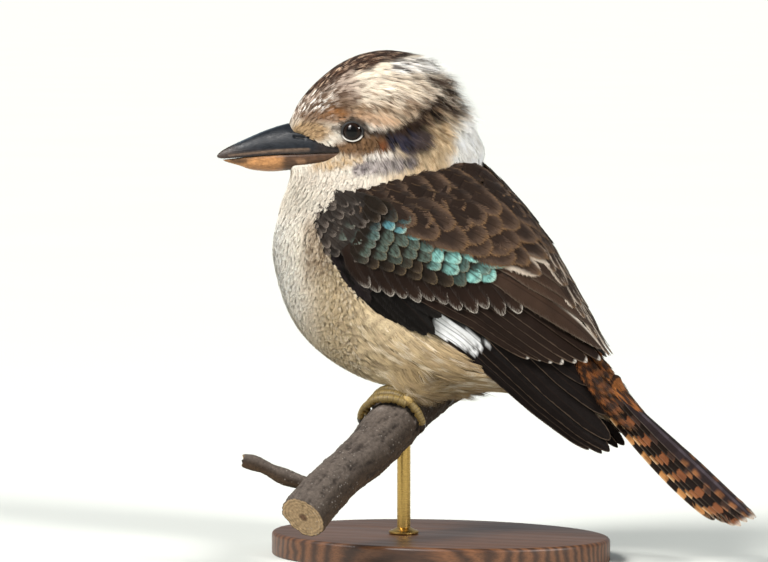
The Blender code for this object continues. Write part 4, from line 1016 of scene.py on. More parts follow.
SKIN_ROWS, SKIN_AROUND = 220, 140


def make_skin(finish):
    """One closed skin for head, neck and torso: the body's form drawn in under the coat, capped at both ends."""
    u, angle = np.broadcast_arrays(np.linspace(0, LAST_STATION, SKIN_ROWS)[:, None], turned(SKIN_AROUND))
    form = body_surface(u, angle)
    flat = body_form(u, angle, -0.2 * coat_depth(u) - 0.4 - horn_room(form), clear=2.6)
    points, faces = closed_tube(turn_head(flat))
    half_way = np.full(u.shape, 0.5)
    colours = plumage(form, u, angle, half_way, half_way)
    colours = colours * (0.65 + 0.35 * eased(colours.mean(axis=-1), 0.2, 0.6))[..., None]
    tints = np.concatenate([colours.reshape(-1, 3), colours[0].mean(0)[None], colours[-1].mean(0)[None]])
    return make_piece("skin_body", points, faces, finish, tint=tints)


STRIPS = 19
TUFTS = 14000
TUFT_LENGTH = ((0, 1.5, 3, 5, 8, 10, 13, 18, 22, 24), (2.8, 4.8, 6.6, 8.2, 10, 12, 15, 16, 13, 9))
TUFT_SPACING = ((0, 3, 6, 9, 12, 16, 24), (1.2, 1.6, 1.9, 2.3, 2.7, 3, 3.2))


def coat_fields(u, angle):
    """Length, spacing and lift of tufts by place: tiny round the bill and eye, long on breast and crest."""
    form = body_surface(u, angle)
    x, v = side_view(form)
    length = np.interp(u, *TUFT_LENGTH)
    spacing = np.interp(u, *TUFT_SPACING)
    face = eased(x, -36, -48) * eased(v, 272, 262)
    length = length * (1 - face) + np.minimum(length, 3.8) * face
    spacing = spacing * (1 - face) + np.minimum(spacing, 1.25) * face
    crest = eased(np.minimum(angle, TURN - angle), 1.7, 1.1) * eased(u, 4.6, 6.2) * eased(u, 8.8, 7.6)
    length = length + 5 * crest
    thigh = eased(form[..., 2], 118, 106) * eased(x, -40, -24) * eased(x, 12, -4)
    length = length + 3 * thigh
    lift = 0.3 + 0.1 * eased(u, 8, 12) + 6 * crest + thigh
    return form, x, v, length, spacing, lift, thigh, crest


def bill_cover(x, v):
    """True where the horn of the bill shows, so that no tuft grows there."""
    return (v < np.interp(x, *BROW_LINE)) & (v > np.interp(x, *CHIN_LINE)) & (x < -59.7)


def sample_tufts(rng, count):
    """Roots (u, angle) for tufts, spread by area over tuft size, none under the wings or on the bill."""
    us = np.linspace(0, LAST_STATION - 1.7, 361)
    angles = np.linspace(0, TURN, 289)
    u, angle = np.meshgrid(us, angles, indexing="ij")
    corner = body_form(u, angle, 0)
    du, da = corner[1:, :-1] - corner[:-1, :-1], corner[:-1, 1:] - corner[:-1, :-1]
    area = np.linalg.norm(np.cross(du, da), axis=-1)
    mid_u, mid_a = u[:-1, :-1] + (us[1] - us[0]) / 2, angle[:-1, :-1] + (angles[1] - angles[0]) / 2
    form, x, v, length, spacing = coat_fields(mid_u, mid_a)[:5]
    a, h = to_wing(form)
    hidden = (wing_cover(a, h, 16) > 0.97) | bill_cover(x, v)
    weight = np.where(hidden, 0, area / spacing**2)
    share = np.cumsum(weight.ravel())
    pick = np.searchsorted(share, (np.arange(count) + rng.random(count)) / count * share[-1])
    i, j = np.unravel_index(np.minimum(pick, len(share) - 1), weight.shape)
    return us[i] + rng.random(count) * (us[1] - us[0]), angles[j] + rng.random(count) * (angles[1] - angles[0])


def eye_places():
    """Centre and outward direction of each eye before the head is turned, set into the form's side.

    The side's place at the eye's x and z is found by walking a fine grid of the form.
    """
    u, angle = np.meshgrid(np.linspace(0, 8, 400), np.linspace(0.05, np.pi - 0.05, 400), indexing="ij")
    form = body_surface(u, angle)
    best = np.argmin(np.hypot(form[..., 0] - EYE_XZ[0], form[..., 2] - EYE_XZ[1]))
    i, j = np.unravel_index(best, u.shape)
    normal = unit(np.cross(form[i + 1, j] - form[i - 1, j], form[i, j + 1] - form[i, j - 1]))
    normal = normal * (1 if normal[1] < 0 else -1)
    outwards = unit(normal * 0.5 + np.array([-0.12, -0.6, 0.03]))
    centre = form[i, j] - outwards * EYE_SINK
    return {"left": (centre, outwards), "right": (centre * (1, -1, 1), outwards * (1, -1, 1))}


EYES = eye_places()


def make_coat(finish):
    """Soft feathers of the body: tufts of fine tapered strips over the whole skin, in several pieces.

    Each tuft has STRIPS strips that fan out from one root. A strip's centre line walks the body's form from its
    root along the lie of the coat. It rises from the skin, then lies along the form's surface, and the tuft is
    domed and rounded at its tip like a small feather.
    """
    def each(values):
        return values[:, None, None]

    rng = np.random.default_rng(11)
    u, angle = sample_tufts(rng, TUFTS)
    form, x, v, length, spacing, lift, thigh, crest = coat_fields(u, angle)
    step = 0.02
    run_u = np.linalg.norm(body_surface(u + step, angle) - body_surface(u - step, angle), axis=-1) / (2 * step)
    run_a = np.linalg.norm(body_surface(u, angle + step) - body_surface(u, angle - step), axis=-1) / (2 * step)
    roll, streak = rng.random(TUFTS), rng.random(TUFTS)
    fan, t = np.linspace(-1, 1, STRIPS), np.array(RIBBON_STOPS)
    shape = (TUFTS, STRIPS)
    reach = (length * rng.uniform(0.85, 1.15, TUFTS))[:, None] * (1 - 0.12 * fan**2 + rng.normal(0, 0.13, shape))
    heading = rng.normal(0, 0.08, TUFTS)[:, None] + fan * (0.5 * spacing / length * (1 - 0.9 * crest))[:, None]
    heading = (heading + rng.normal(0, 0.05, shape))[..., None]
    curl = rng.normal(0, 0.3, shape)[..., None]
    offset = (fan * (spacing * (0.3 - 0.12 * crest))[:, None])[..., None]
    ahead = reach[..., None] * t * np.cos(heading)
    aside = offset + reach[..., None] * t * np.sin(heading) + curl * t**2
    path_u = np.minimum(each(u) + ahead / each(run_u), LAST_STATION - 0.02)
    path_a = each(angle) + aside / each(np.maximum(run_a, 4))
    tip_lift = each(lift * rng.uniform(0.3 - 0.2 * crest, 1.3 + 0.4 * crest))
    layer = each(rng.random(TUFTS) * np.minimum(0.08 * coat_depth(u), 0.2))
    height = -0.5 * each(coat_depth(u)) * (1 - t) ** 2 + tip_lift * t**1.6 - layer * (1 - 0.3 * t)
    height = height + each(0.035 * spacing) * (1 - fan**2)[None, :, None] * t
    height = height + 0.08 * rng.random(shape)[..., None]
    root_cover = each(wing_cover(*to_wing(form)))
    cover = np.maximum(root_cover, 0.55 * wing_cover(*to_wing(body_surface(path_u, path_a, height))))
    down = -each(thigh * rng.uniform(1, 7, TUFTS)) * t**2
    droop = packed(each(thigh * rng.uniform(-1, 2.5, TUFTS)) * t**2, 0, down)
    flat = body_form(path_u, path_a, height, cover=cover) + droop
    raised = body_form(path_u, path_a, height + 0.6, cover=cover) + droop
    clear = np.ones(shape, bool)
    for centre, outwards in EYES.values():
        away = flat - centre
        near = np.linalg.norm(away - (away @ outwards)[..., None] * outwards, axis=-1)
        clear &= ~((near < LID_RADIUS) & ((away @ outwards) > 0)).any(axis=2)
    clear &= ~bill_cover(*side_view(flat)).any(axis=2)
    seen = path_u[..., 1], path_a[..., 1]
    shades = 0.5 * roll[:, None] + 0.15 * (1 - np.abs(fan)) + 0.35 * rng.random(shape)
    lines = np.clip(streak[:, None] - 0.12 * (np.abs(fan) - 0.5) + rng.normal(0, 0.05, shape), 0, 1)
    tone = plumage(body_surface(*seen), seen[0], np.mod(seen[1], TURN), shades, lines)[:, :, None]
    # Strips darken towards their roots: partly the grey bases of real feathers, partly painted shade under the
    # tufts above.
    root_shade = 0.6 + 0.34 * eased(tone.mean(axis=-1, keepdims=True), 0.15, 0.5)
    tone = tone * (root_shade + (1.03 - root_shade) * np.array([0, 0.85, 1])[:, None])
    half = 0.5 * np.interp(spacing, (1.2, 3), (0.2, 0.36))[:, None] * rng.uniform(0.75, 1.25, shape)
    strips = ribbons(turn_head(flat), turn_head(raised), half)
    paint = tone[:, :, list(STOP_OF_POINT)]
    fan_at = np.arange(STRIPS) / STRIPS * PATCH
    around = np.mod(angle, TURN)
    roots = packed(u[:, None] / LAST_STATION + fan_at, around[:, None] / TURN)
    regions = (
        ("face", "plumage_head", (u < 4.2) & (x < -44)),
        ("crown", "plumage_head", (u < 9) & (np.minimum(angle, TURN - angle) < 1.35)),
        ("cheek", "plumage_head", u < 9),
        ("neck", "plumage_neck", u < 12),
        ("breast", "plumage_body", u < 15),
        ("belly", "plumage_body", u >= 0),
    )
    left_over = np.ones(TUFTS, bool)
    made = []
    for name, slot, inside in regions:
        for side, here in (("left", around < np.pi), ("right", around >= np.pi)):
            keep = (left_over & inside & here)[:, None] & clear
            made.append(ribbon_piece(f"coat_{name}_{side}", strips[keep], paint[keep], roots[keep], finish))
        left_over &= ~inside
    return made


# Wings.

# Where turquoise shows on the coverts: places (a, h) and radii of soft spots.
TURQUOISE_BAND = (((30, 7), (46, 22), (64, 28), (80, 33), (94, 42), (104, 43)), (2.5, 5, 7, 8.5, 7, 4))
TURQUOISE_LOW = (((70, 20), (86, 22), (95, 27), (101, 34), (105, 42)), (3, 4.2, 5.2, 5.4, 4))
OLIVE_LINE = (((19, -6), (33, -2), (45, 8), (59, 16), (72, 21)), (5, 7, 8, 6.5, 4))
WHITE_PATCH_UPPER = ((94, 109.5, 128), (-4, -1.6, 1.5))
WHITE_PATCH_LOWER = ((97, 105.9, 106, 124.5), (-18, -17.6, -13.6, -10.8))


def along_wing(points):
    """Roots or tips (a, h) as (a, q) on the wing's sheet."""
    return packed(points[:, 0], SHEET.arc(*points.T))


def wing_row(batch, rng, count, roots, tips, width, lifts, roll, base, jitter=1, rim=0.5, paint=None, grid=(12, 9),
             barbs=None, fringe="#8a7561", sides=0.3, spread=0.12, **form):
    """A row of feathers from a line of roots to a line of tips, both (a, h); count 0 takes the points as given."""
    root = along_line(roots, count) if count else np.array(roots, float)
    tip = along_line(tips, count) if count else np.array(tips, float)
    root = root + rng.normal(0, 0.5 * jitter, root.shape)
    tip = tip + rng.normal(0, 0.8 * jitter, tip.shape)
    number = len(root)
    lifts = (lifts[0] + rng.normal(0, 0.1, number), lifts[1] + rng.normal(0, 0.12 * jitter, number))
    vanes = Vanes(SHEET.points, along_wing(root), along_wing(tip), width * rng.uniform(0.93, 1.07, number), lifts,
                  roll, **form)
    batch.row(rng, vanes, base, rim, paint, to_wing, tip, grid, barbs, fringe, sides=sides, spread=spread)


def paint_coverts(colours, facts, a, h, tip):
    """Turquoise on the coverts where the band of bright feathers lies, olive below it; painted shade darkens every
    base.
    """
    across, along, _, v, t = np.moveaxis(facts, -1, 0)
    centre = eased(np.abs(v), 1.25, 0.85) * eased(t, 0.45, 0.72)
    streaks = 0.75 + 0.4 * np.sin(across * 4.5 + along * 1.3)
    # Each covert darkens towards its covered base and brightens towards its tip: painted shade and painted light.
    colours = colours * (0.34 + 0.76 * eased(t, 0.55, 0.95))[..., None]
    at, up = tip[..., 0] - 3.5, tip[..., 1] - 0.5
    olive = near_line(at, up, *OLIVE_LINE, 6)
    spots = np.maximum(near_line(at, up, *TURQUOISE_BAND, 4.5), near_line(at, up, *TURQUOISE_LOW, 3.5))
    strength = 0.25 + 1.1 * eased(cloud(packed(at, up, 0) * 3, 5, 8), -0.5, 0.2)
    glow = lay(linear("#4c7a82"), "#7bb0a8", eased(at, 35, 75), "#b9d0bd", 0.5 * eased(t, 0.8, 0.97))
    glow = glow * (0.85 + 0.4 * np.sin(across * 7 + 3 * at))[..., None]
    return lay(colours, "#55675e", 0.75 * olive * centre * streaks,
               glow, np.clip(spots * centre * strength * (0.5 + 0.7 * streaks), 0, 0.96))


def paint_greater(colours, facts, a, h, tip):
    """Brown, darker at the covered base and lighter along the exposed part: painted shade and a painted soft
    highlight.
    """
    return colours * (0.7 + 0.5 * eased(facts[..., 4], 0.6, 0.95))[..., None]


def paint_secondaries(colours, facts, a, h, tip):
    """White tips on the secondaries."""
    return lay(colours, "#e2dacf", eased(facts[..., 4], 0.976, 0.992) * 0.8)


def paint_tertials(colours, facts, a, h, tip):
    """Broad whitish fringes on the side towards the ridge: pale edges whitened as a painted highlight."""
    white = eased(facts[..., 3], -0.5, -0.72) * eased(facts[..., 4], 0.45, 0.6)
    return lay(colours, "#d9ccbd", 0.85 * white)


def paint_primaries(colours, facts, a, h, tip):
    """The white patch across the bases of the primaries, ragged and speckled towards the tips."""
    spots = cloud(packed(a, h, 0), 1.5, 6)
    patch = eased(np.interp(a, *WHITE_PATCH_UPPER) - h, -0.3, 0.3)
    patch = patch * eased(h - np.interp(a, *WHITE_PATCH_LOWER), -0.3, 0.3)
    end = np.interp(h, (-11, -6, -2, 0.5), (124.5, 124.5, 124, 127.5))
    patch = patch * eased(end + 2 * spots - a, -0.4, 0.4) * (a > 92)
    return lay(colours, "#fbfafa", patch * (1 - 0.7 * ((spots > 0.36) * eased(a - h * 0.6, 118, 126))))


def paint_scapulars(colours, facts, a, h, tip):
    """Dark brown, darkest at the middle of each feather, with painted shade at its base, browner round it; its
    ochre and whitish fringes are partly painted highlight.
    """
    t, v, at = facts[..., 4], np.abs(facts[..., 3]), tip[..., 0]
    round_edge = np.maximum(eased(v, 0.35, 0.95), eased(t, 0.72, 0.97)) * eased(t, 0.3, 0.6)
    edge = np.maximum(eased(v, 0.82, 1), eased(t, 0.92, 1)) * eased(t, 0.5, 0.8)
    pale_edge_and_highlight = eased(at, 112, 124) * eased(v, 0.5, 0.85) * eased(t, 0.35, 0.5)
    # The first factor darkens each covered base: painted shade. The ochre edge is partly the feather's own fringe
    # and partly a painted rim highlight; the whitish edge on the hind feathers is a pale edge whitened as a painted
    # highlight.
    return lay(colours * (0.72 + 0.28 * eased(t, 0.3, 0.7))[..., None], "#66503f", 0.5 * round_edge,
               "#8c653c", 0.5 * edge * eased(at, 36, 62), "#dccdbb", 0.8 * pale_edge_and_highlight)
SCALLOP_LOWER = ((2, -21), (9, -23), (19.5, -20.5), (29, -16), (39, -11), (49.5, -5.5), (60.5, 0), (72.5, 5),
                 (81.5, 11.5), (90.5, 18.5), (98, 24.5), (106, 32))
SCALLOP_UPPER = ((-2, -6), (4, 3), (12, 10), (24, 16), (38, 21.5), (50, 26), (62, 32), (75, 37.5), (86, 42),
                 (102, 45))
SCALLOP_ROWS = 15
PRIMARY_ROOTS = ((72, -19), (74, -12.5), (76, -6), (78, 4.5), (80, 13.5), (82, 16))
PRIMARY_TIPS = ((210, -8), (216.5, -5), (219, -1), (215.5, 4.5), (203.5, 14), (185, 20))
PRIMARY_WIDTHS = np.array([8.5, 9, 11.5, 13.5, 13.5, 12])
SECONDARY_TIPS = ((149, 11.5), (155, 14.5), (160.5, 17.5), (165.5, 20.5), (170, 24), (174.5, 27.5), (178.5, 31))
GREATER_TIPS = ((50, -19), (69, -11.5), (79, -5), (88, 1.5), (97, 6.5), (106, 10.5), (114, 17),
                (124, 22.5), (130, 29.5), (133.5, 35), (136, 41))


def wing_rows(rng):
    """All feathers of a left wing, from the lowest row to the highest: the wing's own, and the scapulars."""
    wing, shoulder = FeatherBatch(), FeatherBatch()
    row = lambda *args, **kw: wing_row(wing, rng, *args, **kw)
    tight = {"spacing": 0.45, "reach": 3.5, "layers": (1.01,), "width": 0.22}
    row(0, PRIMARY_ROOTS, PRIMARY_TIPS, PRIMARY_WIDTHS, (1, 0.9), 0.2, "#150f0d", rim=0.5, paint=paint_primaries,
        grid=(80, 11), fringe="#6f5d4e", round_power=8, lean=-0.3, jitter=0.3, sides=0.8, spread=0.06)
    row(0, along_line(((62, -9), (84, 26)), 7), SECONDARY_TIPS, 10, (4.2, 5), 0.16, "#211610", rim=0.35,
        paint=paint_secondaries, grid=(30, 9), fringe="#8d7866", round_power=8, lean=-0.3, jitter=0.4, sides=0.5,
        spread=0.08)
    row(0, along_line(((84, 30), (96, 50)), 4), ((173.5, 34.5), (164, 39.5), (153.5, 44), (143, 48)), 13, (6, 7.6),
        0.12, "#3c2c22", rim=0.5, paint=paint_tertials, grid=(40, 13), fringe="#c9b8a2", round_power=5, bare=0.96,
        barbs=tight)
    row(6, ((28, -22), (50, -9)), ((72, -25), (82, -23), (91, -20), (97.5, -16.5), (98.5, -11), (95.5, -5)), 11,
        (4, 4.8), 0.16, "#110e0c", rim=0.15, round_power=4, fringe="#5b4c43", bare=0.96, sides=0.1, barbs=tight)
    row(4, ((4, -21), (20, -12)), ((58, -32), (58, -28), (55, -23), (49, -18)), 13, (0.5, 6), 0.12, "#1d1718",
        rim=0.3, round_power=3.4, fringe="#5b4a3e", grid=(16, 9), bare=0.94, sides=0.1, barbs=tight)
    row(14, ((24, -12), (50, 6), (78, 28), (100, 47)), GREATER_TIPS, 13.5, (6.2, 7), 0.07, "#281b14", rim=0.9,
        paint=paint_greater, grid=(20, 11), fringe="#e2d8ca", round_power=2.8, sides=0.02, jitter=1, spread=0.06,
        bare=0.97, barbs=tight)
    low, high = along_line(SCALLOP_LOWER, SCALLOP_ROWS), along_line(SCALLOP_UPPER, SCALLOP_ROWS)
    for k in reversed(range(SCALLOP_ROWS)):
        share = k / (SCALLOP_ROWS - 1)
        long = 12 + 9 * share
        rise = min(k / 5, 1)
        tips = (low[k], (low[k] + high[k]) / 2 + (1.5, 0), high[k])
        roots = [(a - long, h - 1) for a, h in tips]
        count = max(int(np.hypot(*(high[k] - low[k])) / (3.8 + 2.3 * share)) + 1, 3)
        row(count, roots, tips, 7.4 + 4.6 * share, (-2.5 + 8.9 * rise, 1 + 7.3 * rise), 0.04,
            "#4f4640" if k < 5 else "#33291f", rim=0.6, paint=paint_coverts, grid=(14, 9),
            fringe="#a89a8c" if k < 6 else "#a08a68", round_power=2.6, jitter=1.5, bare=0.95, sides=0.1,
            spread=0.18, barbs={"spacing": 0.4, "reach": 2.6, "layers": (1.03, 0.94), "width": 0.24, "start": 0.4})
    row = lambda *args, **kw: wing_row(shoulder, rng, *args, **kw)
    plume = {"spacing": 0.42, "reach": 4.5, "layers": (1.05, 0.97, 0.88), "width": 0.26}
    for count, ra, rb, ta, tb, width, lift in (
            (4, (84, 42), (100, 58), (119, 46.5), (133, 55), 15, (7.8, 8.6)),
            (5, (74, 40), (92, 58), (106, 45), (121, 57), 17, (8.2, 9.2)),
            (5, (58, 34), (80, 60), (93, 42.5), (110, 60), 18, (8.4, 9.6)),
            (5, (44, 28), (68, 61), (79, 37), (98, 62), 18.5, (8.2, 9.8)),
            (6, (30, 22), (57, 63), (64, 31), (86, 63), 18, (7, 9.6)),
            (6, (17, 16), (50, 65), (49, 24), (74, 65), 17.5, (5, 8.8)),
            (7, (7, 10), (44, 64), (33, 16.5), (63, 67), 16, (2.6, 7.4)),
            (8, (-1, 4), (44, 62), (19, 9), (57, 69), 14, (0.6, 5.6)),
            (10, (-7, -5), (40, 58), (7, 0), (50, 67), 12, (-2, 3))):
        row(count, (ra, rb), (ta, tb), width, lift, 0.02, "#2f231c", rim=0.4, paint=paint_scapulars, grid=(18, 13),
            barbs=plume, fringe="#8f7350", round_power=2.4, jitter=1.6, bare=0.93, sides=0.35, spread=0.12)
    return wing, shoulder


LINING_A = (2, 168)


def make_wing_lining(name, finish, mirror):
    """The closed sheet under the feathers: the wing's sheet between its edges, rounded off at its rim."""
    rows, columns = LINING_GRID
    s, w = np.meshgrid(np.linspace(0, 1, rows), np.linspace(0, 1, columns), indexing="ij")
    a = LINING_A[0] + (LINING_A[1] - LINING_A[0]) * s
    inset = 7 + 9 * eased(a, 110, 160)
    low = np.interp(a, *WING_LOWER_EDGE) + inset
    high = np.minimum(np.interp(a, *WING_UPPER_EDGE) - inset, np.interp(a, WING_SECTIONS_A, WING_RIDGE_H) - 1)
    q_high, q_low = (SHEET.arc(a[:, 0], edge[:, 0])[:, None] for edge in (np.maximum(high, low + 0.5), low))
    q = q_high + (q_low - q_high) * w
    edge = np.sqrt(np.clip(1 - np.abs(2 * s - 1) ** 6, 0, 1) * np.clip(1 - np.abs(2 * w - 1) ** 6, 0, 1))
    body = eased(a, 120, 30) * eased(a, 4, 30)
    points = np.concatenate([SHEET.points(a, q, 0.2 + (0.3 + 2.6 * body) * edge).reshape(-1, 3),
                             SHEET.points(a, q, 0.1 - 0.5 * edge).reshape(-1, 3)])
    points = points * ((1, -1, 1) if mirror else (1, 1, 1))
    faces = face_outward(points, [shell_faces(rows, columns)])
    return make_piece(name, points, faces, finish,
                      tint=np.tile(linear("#1b1410"), (len(points), 1)))


def make_wings(vane, lining, down):
    """Both wings with their scapulars: the right one is drawn anew and mirrored."""
    for side, seed in (("left", 21), ("right", 22)):
        wing, shoulder = wing_rows(np.random.default_rng(seed))
        mirror = side == "right"
        for piece in (wing.make("wing_feathers_" + side, vane, "wing_feathers", mirror),
                      wing.make_soft("wing_barbs_" + side, down, "wing_feathers", mirror),
                      shoulder.make("scapulars_" + side, vane, "wing_feathers", mirror),
                      shoulder.make_soft("scapular_barbs_" + side, down, "wing_feathers", mirror),
                      make_wing_lining("wing_lining_" + side, lining, mirror)):
            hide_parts("wing_" + side)


def bill_half(name, flat, colours, finish):
    """Closes half a bill and turns it with the head; its place before the turn carries the grain."""
    points, faces = closed_tube(flat)
    return make_piece(name, turn_head(points), faces, finish, None, {"grain": points}, cap_tints(colours))


def make_mantle(vane, down):
    """Soft dark feathers over the ridge of the back, in rows from the nape to the rump."""
    rng = np.random.default_rng(31)
    batch = FeatherBatch()
    soft = {"spacing": 0.5, "reach": 4.5, "layers": (1.05, 0.95), "width": 0.26}
    for a in (142, 131, 120, 110, 101, 92, 83, 75, 68, 62):
        count = 5
        q = np.linspace(-10, 10, count) + rng.normal(0, 0.7, count)
        back = np.maximum(a - 26 + rng.normal(0, 1, count), 47)
        root = packed(back, q)
        tip = packed(a + 4 + rng.normal(0, 1.5, count), q * 1.1)
        high = 5.6 * eased(a, 44, 72) + 0.5
        low = 5.6 * eased(back, 44, 72)
        vanes = Vanes(ridge_place, root, tip, 13, (np.minimum(low, high - 0.5), high), 0, round_power=2.4,
                      camber=0.1, bare=0.93)
        batch.row(rng, vanes, "#34271f", 0.4, paint_scapulars, to_wing, None, (14, 11), soft, "#8f7350", sides=0.35)
    # The long feathers at the rear of the back have pale fringes along their sides, whitened along the ridge as a
    # painted highlight.
    for tip_a, tip_q, width in ((180, 3.5, 9), (167, 5.5, 10), (154, 7, 11)):
        q = np.array([-1, 1]) * tip_q
        root = packed(tip_a - 58, q * 0.9)
        tip = packed(tip_a + rng.normal(0, 1, 2), q)
        vanes = Vanes(ridge_place, root, tip, width, (4.6, 5.4 - 0.02 * (tip_a - 154)), 0, round_power=4,
                      camber=0.12, bare=0.96)
        batch.row(rng, vanes, "#332822", 0.5, paint_scapulars, to_wing, None, (30, 13), soft, "#cbbba6", sides=0.8)
    return (batch.make("mantle_feathers", vane, "plumage_body"),
            batch.make_soft("mantle_barbs", down, "plumage_body"))


# Tail.

def paint_bars(colours, facts, a, h, tip):
    """Black bars across rufous coverts, bent back towards their edges, with pale buff tips."""
    wave = np.sin((facts[..., 1] - 0.3 * np.abs(facts[..., 0]) + 1.4 * tip[..., 0]) / BAR_PERIOD * TURN)
    return lay(colours, "#1a0f0a", eased(wave, -0.5, -0.05) * 0.95, "#c08a52", 0.3 * eased(facts[..., 4], 0.93, 1))


def make_tail(barred, soft, down):
    """Twelve barred tail feathers with the middle pair on top, and coverts over and under their roots."""
    rng = np.random.default_rng(41)
    batch = FeatherBatch()
    tips = (3.4, 8, 12.6, 14.6, 16.4, 20)
    lengths = (122, 122, 120.5, 117, 113, 108.5)
    grounds = ("#2a2021", "#3a2922", "#7a4a2e", "#8a5634", "#a06a3c", "#b37c48")
    for i, c_tip in reversed(list(enumerate(tips))):
        sides = np.array([-1, 1])
        root = packed(2, sides * (2 + 0.75 * c_tip))
        tip = packed(lengths[i] + rng.normal(0, 0.8, 2), sides * c_tip)
        drop = 0.9 * i + np.array([0, 0.45])
        vanes = Vanes(tail_place, root, tip, 13.5 if i == 0 else 11.5, (-1.5 - drop, -drop), 0, round_power=8,
                      root_share=0.7, camber=0.05, thick=0.35)

        def paint(colours, facts, a, h, tip):
            across, along, _, v, t = np.moveaxis(facts, -1, 0)
            blotch = cloud(packed(along * 0.6, across, tip[..., 1]), 3.5, 12)
            edge = eased(np.abs(v) + 0.5 * blotch, 0.45, 0.8) * eased(t, 0.45, 0.6)
            gaps = eased(np.sin(along / BAR_PERIOD * TURN + 1.2 * i + blotch), -0.3, 0.2)
            return lay(colours, "#94603a", edge * gaps * 0.8 * (i < 2),
                       "#5a3420", eased(blotch, 0, 0.5) * 0.5 * (i > 1),
                       # Grey-purple along the middle pair's shafts: a painted sheen.
                       "#7c727c", eased(np.abs(across), 0.7, 0.2) * (i < 2) * 0.5,
                       "#d9bd92", eased(np.abs(v), 0.78, 0.98) * (i > 3) * 0.55,
                       "#dccdbc", eased(t, 0.965, 0.99) * 0.8)

        batch.row(rng, vanes, grounds[i], 0.3, paint, None, None, (60, 13), {"spacing": 1.4, "reach": 5,
                  "layers": (1.03,), "width": 0.3, "start": 0.9}, "#c8b49a", barred=1 if i else 0.3, spread=0.05,
                  phase=-0.16 * (5 - i))
    for piece in (batch.make("tail_feathers", barred, "tail_feathers"),
                  batch.make_soft("tail_tip_barbs", down, "tail_feathers")):
        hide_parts("tail")

    coverts = FeatherBatch()
    for start, count, spread, low, high in (
            (4, 9, 19, -6, -2.5), (-5, 10, 20, -4.5, -1), (-13, 11, 21, -3, 0),
            (-21, 11, 20, -2.5, 0.6), (-30, 11, 19, -2, 0.6)):
        c = np.linspace(-spread, spread, count) + rng.normal(0, 0.5, count)
        root = packed(start + rng.normal(0, 1, count), c)
        length = 17 + 20 * (np.abs(c) / 20) ** 1.3 + rng.normal(0, 2.5, count)
        tip = root + packed(length, c * 0.1)
        vanes = Vanes(tail_place, root, tip, 9, (low, high), 0, round_power=2.2, camber=0.16, bare=0.8)
        coverts.row(rng, vanes, "#8f5428", 0.2, paint_bars, None, None, (18, 9),
                    {"spacing": 0.45, "reach": 9, "layers": (1.15, 0.95, 0.78, 0.6), "start": 0.1,
                     "width": 0.32}, "#b98d5e")
    for c_row, reach, length in ((7, 20, 22), (6, 27, 18)):
        c = np.linspace(-c_row, c_row, 5)
        root = packed(reach, c)
        tip = root + packed(length - np.abs(c), c * 0.5)
        vanes = Vanes(tail_place, root, tip, 9, (-14, -12), 0, round_power=2.6, bare=0.85)
        coverts.row(rng, vanes, "#c4b396", 0, None, None, None, (12, 7),
                    {"spacing": 0.5, "reach": 7, "layers": (1.06, 0.8, 0.5), "start": 0.1, "width": 0.36})
    for piece in (coverts.make("tail_coverts", soft, "tail_feathers"),
                  coverts.make_soft("tail_covert_barbs", down, "tail_feathers")):
        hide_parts("tail")


# Bill, eyes and lids.

def bill_shell(rows, gap, power, stations=150, around=64):
    """A half bill before the turn: sections y = cos, z = sin^power over the mouth line, flat at the mouth."""
    table = smooth_table(rows, np.linspace(0, 1, stations) ** 1.4 * (len(rows) - 1))
    x, outer, mouth, half = (table[:, k:k + 1] for k in range(4))
    mouth = mouth + gap
    t = np.linspace(0, np.pi, around)[None, :]
    y = -np.cos(t) * half * (1 - 0.12 * np.sin(t) ** 2)
    z = mouth + (outer - mouth) * np.abs(np.sin(t)) ** power
    return packed(x, y, z)


def bill_material():
    """Horn of the bill: layered keratin, waxy gloss, with fine lengthwise growth lines and small scuffs."""
    made, add, shader = new_material("bill_horn_keratin")
    tint = add("Attribute", attribute_name="tint")
    grain = add("Attribute", attribute_name="grain")
    stretched = add("Mapping", {"Vector": grain.outputs["Vector"], "Scale": (0.05, 0.9, 0.9)})
    lines = add("TexNoise", {"Vector": stretched, "Scale": 1.6, "Detail": 5})
    spots = add("TexNoise", {"Vector": grain.outputs["Vector"], "Scale": 0.45, "Detail": 5})
    shade = add("MapRange", {0: lines, 1: 0.3, 2: 0.7, 3: 0.72, 4: 1.3})
    blotch = add("MapRange", {0: spots, 1: 0.35, 2: 0.65, 3: 0.8, 4: 1.2})
    both = add("Math", {0: shade, 1: blotch}, operation="MULTIPLY")
    colour = add("VectorMath", {0: tint, "Scale": both}, operation="SCALE")
    rough = add("MapRange", {0: spots, 1: 0.3, 2: 0.7, 3: 0.3, 4: 0.5})
    bump = add("Bump", {"Height": lines, "Strength": 0.35, "Distance": 0.0003})
    connect(shader, {"Base Color": colour, "Roughness": rough,
                     "Normal": bump, "IOR": 1.54, "Specular IOR Level": 0.2})
    return made


